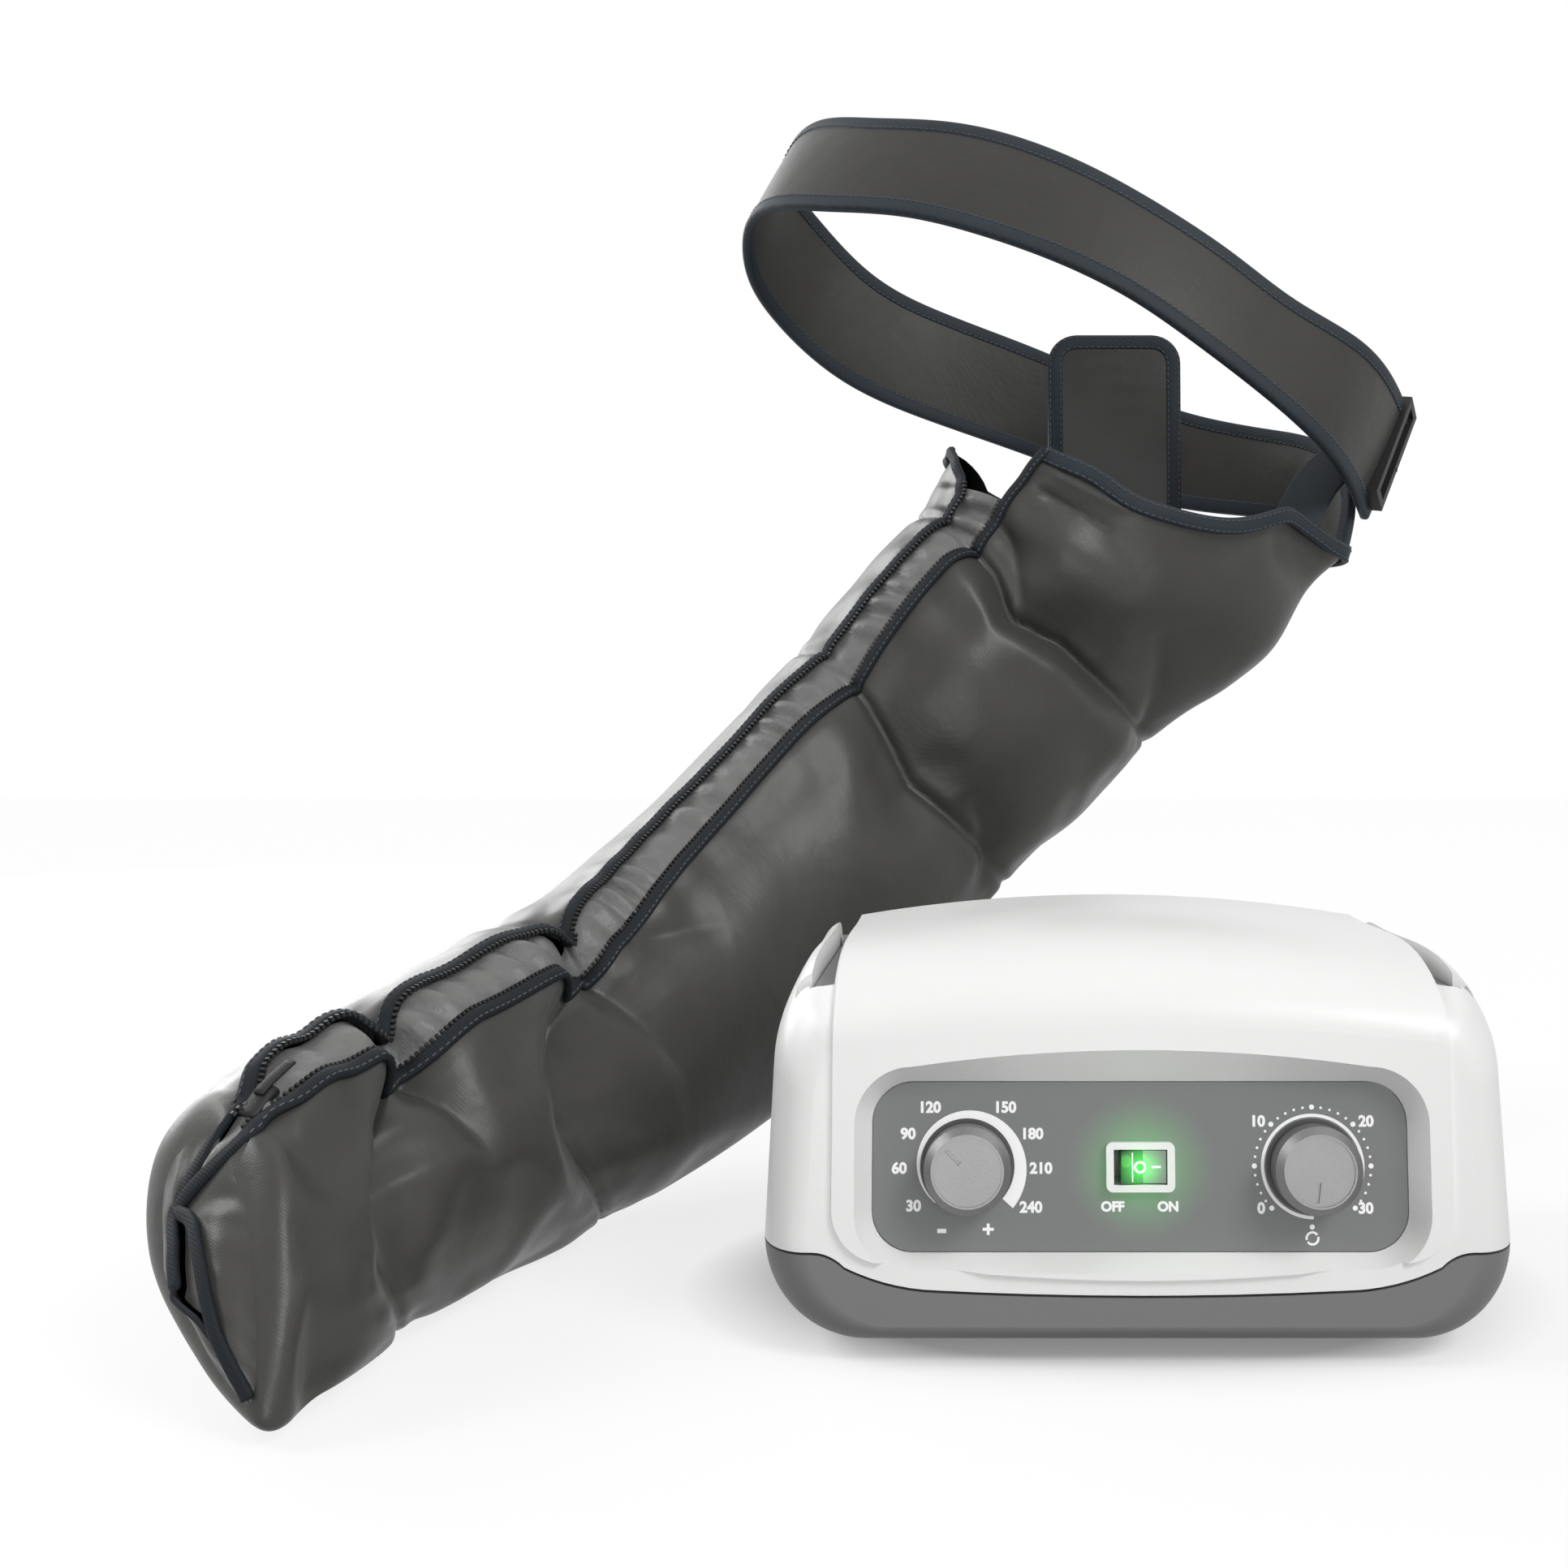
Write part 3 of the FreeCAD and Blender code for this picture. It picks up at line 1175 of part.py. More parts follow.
def make_chambers():
    """The five air chambers, each a padded wall that bends round the arm and is open at the zip."""
    for i, tag in enumerate(CHAMBER_NAMES):
        wires = [chamber_wire(Section(*station)) for station in chamber_stations(i, size("chamber_gap"))]
        wall = stand(formed(f"{tag}_wall", Part.makeLoft(wires, True, False)))
        if tag == "upper_arm":
            wall = cut("upper_arm_pocketed", wall, stand(formed("hose_pocket", hose_pocket())))
        if tag == "shoulder":
            rim = stand(formed("mouth_rim", mouth_cutter(size("binding_width"))))
            hollow = stand(formed("mouth_hollow", mouth_cutter(0)))
            keep("mouth_binding", cut("binding", common("binding_band", wall, rim), hollow))
            wall = cut("shoulder_dipped", wall, rim)
        keep(f"{tag}_chamber", wall)


def make_hand_end():
    """The panel that closes the hand end, with the zip's slit running down it, and the slit's two edges."""
    end = Section(0, size("seam_draw") / 2)
    rim = [end.spot(turn) for turn in range(0, 361, 45)]
    oval = Part.Wire([arc(*rim[i : i + 3]) for i in range(0, 8, 2)])
    out = (end.up + end.ahead * end.slant).cross(end.near).normalize()
    if out.dot(end.ahead) > 0:
        out = out * -1
    start = out * size("chamber_gap")
    panel = Part.Face(oval).extrude(out * size("hand_panel"))
    panel.translate(start)
    top = end.spot(size("zip_turn"))
    low = end.spot(180)
    down = (low - top).normalize()
    low = low - down * size("slit_end")
    across = down.cross(out).normalize()
    reach = size("hand_panel") * 4
    wide, narrow = size("zip_gap") / 2, size("slit_width") / 2
    above = top - down * wide
    corners = [above + across * wide, low + across * narrow, low - across * narrow, above - across * wide]
    slit = Part.Face(Part.makePolygon(corners + corners[:1]))
    slit.translate(out * -reach)
    keep("hand_end", stand(formed("hand_end_panel", panel.cut(slit.extrude(out * (2 * reach))))))
    edges = []
    for side in (1, -1):
        first = top + across * (side * (wide - size("tape_fit")) * 0.96)
        last = low + across * (side * (narrow - size("tape_fit")))
        along = (last - first).normalize()
        inward = across * -side
        begin = first + along * size("slit_edge_start") + start
        length = (last - first).Length - size("slit_edge_start")
        rise = size("hand_panel") + size("tape_rise")
        edges.append(stand(formed(f"slit_edge_{side + 1}", oriented_box(begin, along, length, inward,
                                                                         size("slit_edge"), out, rise))))
    keep("hand_binding", group("slit_edges", *edges))


def make_zip():
    """The two zip tapes and the gusset between them."""
    keep("zip_tape_near", strip("tape_near", lambda section: tape_wire(section, 1)))
    keep("zip_tape_far", strip("tape_far", lambda section: tape_wire(section, -1)))
    keep("zip_gusset", strip("gusset", gusset_wire))
    make_slider()


def make_slider():
    """The zip's slider, parked at the hand end astride the two tapes."""
    section = Section(size("slider_share"), size("seam_draw") / 4)
    near, out, into = section.zip_edge(1)
    far = section.zip_edge(-1)[0]
    across = (far - near).normalize()
    width = (far - near).Length
    ahead = section.ahead
    lift = size("tape_rise") + size("slider_gap")
    corner = near + out * lift - ahead * (size("slider_length") / 2)
    body = oriented_box(corner, ahead, size("slider_length"), across, width, out, size("slider_thick") / 2)
    pull_start = corner + across * ((width - size("slider_width")) / 2) + out * (size("slider_thick") / 2)
    pull = oriented_box(pull_start, ahead, size("slider_length") * 2, across, size("slider_width"), out, size("tape_thick"))
    keep("zip_slider", stand(formed("slider", body.fuse(pull).removeSplitter())))


def hose_frame():
    """The place on the far side of the upper arm where the hose plugs in, and the way out of it."""
    section = Section((SEAM_PLACES[3] + SEAM_PLACES[4]) / 2)
    return section.spot(270), section.near * -1, section.ahead


def hose_pocket():
    """The pocket in the chamber's wall that takes the flange."""
    spot, out, along = hose_frame()
    depth = size("hose_flange_thick")
    radius = size("hose_flange_radius") + size("tape_fit")
    return Part.makeCylinder(radius, 4 * depth, spot - out * (depth + size("tape_fit")), out)


def make_hose_inlet():
    """The flange on the far side of the sleeve with two spigots for the air hose."""
    spot, out, along = hose_frame()
    depth, bore = size("hose_flange_thick"), size("hose_bore")
    flange = Part.makeCylinder(size("hose_flange_radius"), 2 * depth, spot - out * depth, out)
    length = 2 * depth + size("hose_spigot_length")
    for side in (-0.5, 0.5):
        foot = spot - out * depth + along * (side * size("hose_pitch"))
        flange = flange.fuse(Part.makeCylinder(size("hose_spigot_radius"), length, foot, out))
    for side in (-0.5, 0.5):
        foot = spot - out * depth + along * (side * size("hose_pitch"))
        flange = flange.cut(Part.makeCylinder(bore, length, foot, out))
    keep("hose_inlet", stand(formed("hose_inlet_form", flange)))


# Strap


class StrapLoop:
    """The strap's loop: a slanting oval whose band stands across its plane."""

    def __init__(self):
        dip, tilt = math.radians(size("strap_dip")), math.radians(size("strap_tilt"))
        self.middle = Vector(size("strap_x"), size("strap_y"), size("strap_z"))
        self.long = Vector(math.cos(dip), 0, -math.sin(dip))
        lift = Vector(math.sin(dip), 0, math.cos(dip))
        self.width = (lift * math.cos(tilt) + Y_AXIS * math.sin(tilt)).normalize()
        self.short = (lift * math.sin(tilt) - Y_AXIS * math.cos(tilt)).normalize()

    def spot(self, turn, outward=0.0):
        """A point of the loop's lower edge at an angle from its right end towards the viewer."""
        a = math.radians(turn)
        far = (size("strap_half_long") + outward) * math.cos(a)
        side = (size("strap_half_short") + outward) * math.sin(a)
        return self.middle + self.long * far + self.short * side

    def band(self, first, last, count):
        """The band between two angles, as a solid."""
        step = (last - first) / (2 * count)
        thick = size("strap_thick") / 2
        outer = [self.spot(first + i * step, thick) for i in range(2 * count + 1)]
        inner = [self.spot(last - i * step, -thick) for i in range(2 * count + 1)]
        edges = [arc(*outer[i : i + 3]) for i in range(0, 2 * count, 2)]
        edges.append(line(outer[-1], inner[0]))
        edges += [arc(*inner[i : i + 3]) for i in range(0, 2 * count, 2)]
        edges.append(line(inner[-1], outer[0]))
        return Part.Face(Part.Wire(edges)).extrude(self.width * size("strap_width"))


def make_strap():
    """The shoulder strap, the buckle on its near end with its webbing loop, and the tab at the back."""
    loop = StrapLoop()
    end = size("strap_end")
    keep("shoulder_strap", stand(formed("strap_band", loop.band(end, 360 - end, 6))))
    make_buckle(loop, end)
    make_tab()


def make_buckle(loop, end):
    """A flat frame at the strap's near end, and the short loop of webbing that sews it to the mouth."""
    tip = loop.spot(end)
    onward = (tip - loop.spot(end + 1)).normalize()
    out = onward.cross(loop.width).normalize()
    bar, thick, fit = size("buckle_bar"), size("buckle_thick"), size("buckle_fit")
    span = size("strap_width") + 2 * (bar + fit)
    start = tip + onward * fit - loop.width * (bar + fit) - out * (thick / 2)
    frame = oriented_box(start, onward, size("buckle_length"), loop.width, span, out, thick)
    slot_start = start + onward * bar + loop.width * bar - out
    slot_length = size("buckle_length") - 2 * bar
    slot = oriented_box(slot_start, onward, slot_length, loop.width, span - 2 * bar, out, thick + 2)
    keep("strap_buckle", stand(formed("buckle_frame", frame.cut(slot))))
    half = size("strap_thick") / 2
    edge = tip + onward * (size("buckle_length") + 2 * fit)
    rim = Section(size("loop_share"))
    turn = size("loop_turn")
    seat = rim.spot(turn, -size("loop_gap"))
    along = (rim.spot(turn + 12) - rim.spot(turn - 12)).normalize()
    away = (seat - rim.middle).normalize()
    wide = size("loop_width")
    first = quad(edge + loop.width * ((size("strap_width") - wide) / 2), loop.width, wide, out, half)
    last = quad(seat - along * (wide / 2) + away * half, along, wide, away, half)
    webbing = stand(formed("loop_webbing", Part.makeLoft([first, last], True, True)))
    keep("strap_loop", cut("loop_trimmed", webbing, doc.getObject("shoulder_wall")))


def oriented_box(corner, a, a_size, b, b_size, c, c_size):
    """A block from a corner along three directions."""
    points = [corner, corner + a * a_size, corner + a * a_size + b * b_size, corner + b * b_size, corner]
    return Part.Face(Part.makePolygon(points)).extrude(c * c_size)


def quad(start, across, width, out, half):
    """The end of a strap: a thin rectangle from a start point across its width."""
    corners = [start - out * half, start + across * width - out * half]
    corners += [start + across * width + out * half, start + out * half]
    return Part.makePolygon(corners + corners[:1])


def make_tab():
    """The tab that stands at the back of the mouth in front of the strap."""
    plate_body = rounded_plate("tab_blank", "tab_width", "tab_height + tab_height", "tab_corner", "tab_thick")
    plate_body.Placement = Placement(Vector(), Rotation(X_AXIS, 90 - size("tab_lean")))
    stand(plate_body, "tab_x", "tab_y", "tab_z - tab_height")
    keep("shoulder_tab", common("tab", plate_body, stand(formed("tab_room", mouth_cutter(-size("tab_gap"))))))


make_casing()
make_fixings()
make_panel()
make_dial("pressure", "-dial_x", "pressure_pointer")
make_dial("time", "dial_x", "time_pointer")
make_controls()
make_switch()
make_handle()
make_pump()
make_distributor()
make_tubes()
make_outlets()
make_electrics()
make_chambers()
make_hand_end()
make_zip()
make_hose_inlet()
make_strap()
doc.recompute()

for item in doc.Objects:
    if "Invalid" in item.State or "Error" in item.State:
        raise RuntimeError(f"{item.Label} failed: {item.State}")
for item in nodes:
    if item.Shape.isNull() or not item.Shape.isValid() or not item.Shape.Solids:
        raise RuntimeError(f"{item.Label} has no valid solid")

os.makedirs("parts", exist_ok=True)
for item in nodes:
    item.Shape.exportStep(f"parts/{item.Label}.step")
print(f"{len(nodes)} pieces, {sum(len(item.Shape.Solids) for item in nodes)} solids")
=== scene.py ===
"""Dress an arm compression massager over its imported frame.

The control unit keeps its solids and gets moulded, printed and metal finishes. The arm sleeve, its zip,
mouth and hand end, and the shoulder strap and tab are cloth, so they are drawn here along the same lines
as their solids.
"""

import json
import logging
import math
from dataclasses import dataclass, field, replace
from enum import Enum
from typing import Any, Iterable, Optional, Union

import bpy
import numpy as np
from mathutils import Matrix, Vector

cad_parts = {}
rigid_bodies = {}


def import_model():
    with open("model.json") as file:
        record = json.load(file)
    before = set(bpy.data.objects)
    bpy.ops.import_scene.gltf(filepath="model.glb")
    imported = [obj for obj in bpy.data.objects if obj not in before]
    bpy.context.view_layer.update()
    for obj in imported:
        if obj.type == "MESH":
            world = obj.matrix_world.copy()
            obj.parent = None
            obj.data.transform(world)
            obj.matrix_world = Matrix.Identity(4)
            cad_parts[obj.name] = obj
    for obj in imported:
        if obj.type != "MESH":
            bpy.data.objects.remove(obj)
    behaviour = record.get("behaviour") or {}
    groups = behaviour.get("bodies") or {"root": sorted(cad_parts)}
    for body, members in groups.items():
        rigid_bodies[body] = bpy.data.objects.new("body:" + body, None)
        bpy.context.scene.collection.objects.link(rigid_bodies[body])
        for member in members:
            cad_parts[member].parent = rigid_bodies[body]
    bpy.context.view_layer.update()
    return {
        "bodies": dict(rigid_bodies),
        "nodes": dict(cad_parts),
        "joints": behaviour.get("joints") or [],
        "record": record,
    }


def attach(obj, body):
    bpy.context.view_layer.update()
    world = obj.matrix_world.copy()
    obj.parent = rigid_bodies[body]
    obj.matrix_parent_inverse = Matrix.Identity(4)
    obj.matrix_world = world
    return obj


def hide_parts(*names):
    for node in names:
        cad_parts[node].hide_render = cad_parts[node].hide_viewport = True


LOG = logging.getLogger("massager")
MM = 0.001
UNIT_PLACE = np.array([57.0, -121.0, 0.0])
ROOT = "set"
Color = tuple[float, float, float]
ROCKER_LIGHT = (0.0575, -0.2005, 0.0577)


def unit_length(vectors: np.ndarray) -> np.ndarray:
    """Vectors scaled to a length of one."""
    return vectors / np.maximum(np.linalg.norm(vectors, axis=-1, keepdims=True), 1e-9)


def smooth_line(stops: np.ndarray, count: int) -> np.ndarray:
    """Points on the natural cubic curve through some stops.

    Args:
        stops: One row for each stop, with any number of coordinates.
        count: How many points to give, evenly along the stops' own spacing.

    Returns:
        The points, one row each.
    """
    gaps = np.linalg.norm(np.diff(stops, axis=0), axis=1)
    knots = np.r_[0.0, np.cumsum(gaps)]
    last = len(stops) - 1
    system = np.eye(last + 1)
    right = np.zeros_like(stops, dtype=float)
    for i in range(1, last):
        system[i, i - 1 : i + 2] = gaps[i - 1], 2 * (gaps[i - 1] + gaps[i]), gaps[i]
        right[i] = 6 * ((stops[i + 1] - stops[i]) / gaps[i] - (stops[i] - stops[i - 1]) / gaps[i - 1])
    bends = np.linalg.solve(system, right)
    at = np.linspace(0, knots[-1], count)
    k = np.clip(np.searchsorted(knots, at, side="right") - 1, 0, last - 1)
    h = gaps[k][:, None]
    a = (knots[k + 1] - at)[:, None]
    b = (at - knots[k])[:, None]
    bent = (bends[k] * a**3 + bends[k + 1] * b**3) / (6 * h)
    return bent + (stops[k] / h - bends[k] * h / 6) * a + (stops[k + 1] / h - bends[k + 1] * h / 6) * b


def softened(values: np.ndarray, reach: int, width: float) -> np.ndarray:
    """Even values smoothed by a bell curve.

    Args:
        values: The values.
        reach: How many neighbours count on each side.
        width: The curve's width in steps.

    Returns:
        The smoothed values, shorter by the reach at each end.
    """
    soft = bell(np.arange(-reach, reach + 1), width)
    return np.convolve(values, soft / soft.sum(), "valid")


def bell(away: Any, width: float) -> np.ndarray:
    """A bell curve: one at no distance, and falling off over a width."""
    return np.exp(-((away / width) ** 2))


def read_off(at: np.ndarray, places: np.ndarray, table: np.ndarray) -> np.ndarray:
    """Points or directions read off between the rows of a table, which lie at the given places."""
    return np.stack([np.interp(at, places, table[:, i]) for i in range(3)], axis=-1)


def waves(along: np.ndarray, turn: np.ndarray, rates: tuple) -> tuple:
    """Sets of waves over the sleeve, each from its rates along the arm and round it."""
    return tuple(np.sin(along * lengthwise + turn * crosswise) for lengthwise, crosswise in rates)


def leaning(lean: float) -> tuple:
    """The right, upward and outward directions of a plate that faces the front and leans back by an angle."""
    turn = math.radians(lean)
    up = np.array([0.0, math.sin(turn), math.cos(turn)])
    return np.array([1.0, 0.0, 0.0]), up, np.array([0.0, -math.cos(turn), math.sin(turn)])


class Socket:
    """One output of a shader node, with arithmetic that adds the Math nodes it needs."""

    def __init__(self, shader: "Shader", link: Optional[bpy.types.NodeSocket]) -> None:
        """Keep the shader and the output that this value comes from."""
        self.shader = shader
        self.link = link

    def _math(self, operation: str, first: Any, second: Any) -> "Socket":
        """A Math node on two values."""
        return self.shader.node("ShaderNodeMath", {"operation": operation}, {0: first, 1: second})

    def __add__(self, other: Any) -> "Socket":
        """This value plus another."""
        return self._math("ADD", self, other)

    def __radd__(self, other: Any) -> "Socket":
        """Another value plus this one."""
        return self._math("ADD", other, self)

    def __sub__(self, other: Any) -> "Socket":
        """This value less another."""
        return self._math("SUBTRACT", self, other)

    def __rsub__(self, other: Any) -> "Socket":
        """Another value less this one."""
        return self._math("SUBTRACT", other, self)

    def __mul__(self, other: Any) -> "Socket":
        """This value times another."""
        return self._math("MULTIPLY", self, other)

    def __rmul__(self, other: Any) -> "Socket":
        """Another value times this one."""
        return self._math("MULTIPLY", other, self)

    def __truediv__(self, other: Any) -> "Socket":
        """This value over another."""
        return self._math("DIVIDE", self, other)

    def __pow__(self, other: Any) -> "Socket":
        """This value raised to a power."""
        return self._math("POWER", self, other)

    def clamped(self) -> "Socket":
        """This value held between nothing and one."""
        return self.shader.node("ShaderNodeClamp", {}, {"Value": self})


class Shader:
    """The node tree of one material or of the world."""

    def __init__(self, owner: Union[bpy.types.Material, bpy.types.World]) -> None:
        """Start an empty tree in a material or in the world."""
        self.owner = owner
        owner.use_nodes = True
        self.tree = owner.node_tree
        self.tree.nodes.clear()

    def node(self, kind: str, settings: dict, inputs: dict, output: Union[int, str] = 0) -> Socket:
        """Add a node.

        Args:
            kind: Blender's type of the node.
            settings: Properties to set first.
            inputs: Values or links for its sockets, by name or number.
            output: The output to hand back.

        Returns:
            The chosen output.
        """
        made = self.tree.nodes.new(kind)
        for key, value in settings.items():
            setattr(made, key, value)
        for key, value in inputs.items():
            entry = made.inputs[key]
            if isinstance(value, Socket):
                self.tree.links.new(value.link, entry)
            elif entry.type == "RGBA" and len(value) == 3:
                entry.default_value = (*value, 1.0)
            else:
                entry.default_value = value
        return Socket(self, made.outputs[output] if made.outputs else None)

    def seen(self) -> Socket:
        """One for rays that the camera, a gloss or a clear piece sends, and nothing for the others."""
        kinds = ("Is Camera Ray", "Is Glossy Ray", "Is Transmission Ray")
        camera, glossy, clear = (self.node("ShaderNodeLightPath", {}, {}, kind) for kind in kinds)
        return (camera + glossy + clear).clamped()

    def place(self) -> Socket:
        """Where a point is on its own object."""
        return self.node("ShaderNodeTexCoord", {}, {}, "Object")

    def noise(self, place: Socket, size: float, detail: float = 2.0) -> Socket:
        """Soft random patches of a size in metres, around one half."""
        return self.node("ShaderNodeTexNoise", {}, {"Vector": place, "Scale": 1 / size, "Detail": detail})

    def ribs(self, place: Socket, pitch: float, direction: str) -> Socket:
        """Even ribs of a pitch in metres."""
        settings = {"wave_type": "BANDS", "bands_direction": direction, "wave_profile": "SIN"}
        inputs = {"Vector": place, "Scale": math.tau / 20 / pitch}
        return self.node("ShaderNodeTexWave", settings, inputs, "Fac")

    def mix(self, share: Socket, low: Any, high: Any) -> Socket:
        """A colour between two others."""
        return self.node("ShaderNodeMix", {"data_type": "RGBA"}, {0: share, 6: low, 7: high}, 2)

    def bump(self, height: Socket, distance: float, under: Optional[Socket] = None) -> Socket:
        """A normal from a height in shares of a distance in metres, over another normal if one is given."""
        inputs = {"Distance": distance, "Height": height}
        if under is not None:
            inputs["Normal"] = under
        return self.node("ShaderNodeBump", {}, inputs, "Normal")

    def away(self, place: Socket, spot: tuple) -> Socket:
        """How far a place is from a spot."""
        return self.node("ShaderNodeVectorMath", {"operation": "DISTANCE"}, {0: place, 1: spot}, "Value")

    def close(self, inputs: dict) -> bpy.types.Material:
        """End the tree in a principled surface and hand back the material."""
        surface = self.node("ShaderNodeBsdfPrincipled", {}, inputs)
        self.node("ShaderNodeOutputMaterial", {}, {"Surface": surface})
        return self.owner


class Surface(Enum):
    """How a finish breaks up the light."""

    MOULDED = "moulded"
    WOVEN = "woven"
    RIBBED = "ribbed"
    TURNED = "turned"
    # LIT: glows round the rocker's light. On the lens this is the lens's own lamp light; on the grey panel it
    # is painted green light spilled from the rocker
    LIT = "lit"


@dataclass(frozen=True)
class Finish:
    """One finish: its colour, its gloss and the detail of its surface. Sizes are in metres."""

    BROAD_SHARE = 0.6
    CONTRAST = 2.2
    BROAD_GLOSS = 0.1
    FINE_GLOSS = 0.12
    RIB_SHARE = 0.7
    CREASE_SIZE = 0.6
    # The glow's fall-off and colours serve both the lit lens and the painted green light on the panel
    GLOW_FALL = 1.5
    GLOW_EDGE = (0.0, 0.012, 0.002)
    GLOW_HEART = (0.08, 1.0, 0.12)

    name: str
    color: Color
    roughness: float
    surface: Surface = Surface.MOULDED
    metallic: float = 0.0
    coat: float = 0.0
    sheen: float = 0.0
    specular: float = 0.5
    mottle: float = 0.08
    patch: float = 0.03
    grain: float = 0.0005
    grain_depth: float = 0.00002
    crumple: float = 0.0
    glow: float = 0.0
    glow_reach: float = 0.01

    def material(self) -> bpy.types.Material:
        """The finish as a material, made once."""
        known = bpy.data.materials.get(self.name)
        return known or self._build(Shader(bpy.data.materials.new(self.name)))

    def _build(self, shader: Shader) -> bpy.types.Material:
        """Draw the finish in nodes.

        Args:
            shader: The tree to draw in.

        Returns:
            The material.
        """
        place = shader.place()
        broad = shader.noise(place, self.patch)
        fine = shader.noise(place, self.grain)
        height = fine
        if self.surface is Surface.WOVEN:
            warp = shader.ribs(place, self.grain, "DIAGONAL")
            weft = shader.ribs(place, self.grain, "Y")
            height = (warp * weft + fine) * 0.5
        elif self.surface is Surface.RIBBED:
            ribs = shader.ribs(place, self.grain * 2, "DIAGONAL")
            height = ribs * self.RIB_SHARE + fine * (1 - self.RIB_SHARE)
        elif self.surface is Surface.TURNED:
            height = shader.noise(place, self.grain, 4.0)
        dark = tuple(c * (1 - self.mottle) for c in self.color)
        light = tuple(min(1.0, c * (1 + self.mottle)) for c in self.color)
        shade = broad * self.BROAD_SHARE + height * (1 - self.BROAD_SHARE)
        color = shader.mix(((shade - 0.5) * self.CONTRAST + 0.5).clamped(), dark, light)
        gloss = (fine - 0.5) * self.FINE_GLOSS + (broad - 0.5) * self.BROAD_GLOSS
        roughness = (gloss + self.roughness).clamped()
        normal = shader.bump(height, self.grain_depth)
        if self.crumple:
            creases = shader.noise(place, self.patch * self.CREASE_SIZE, 3.0)
            normal = shader.bump(creases, self.crumple, normal)
        inputs = {
            "Base Color": color,
            "Roughness": roughness,
            "Normal": normal,
            "Metallic": self.metallic,
            "Coat Weight": self.coat,
            "Sheen Weight": self.sheen,
            "Specular IOR Level": self.specular,
        }
        # Emission round the rocker: the lens's own lamp light on the lens, and painted green light on the
        # panel
        if self.surface is Surface.LIT:
            near = (1.0 - shader.away(place, ROCKER_LIGHT) / self.glow_reach).clamped() ** self.GLOW_FALL
            inputs["Emission Color"] = shader.mix(near, self.GLOW_EDGE, self.GLOW_HEART)
            inputs["Emission Strength"] = self.glow
        return shader.close(inputs)


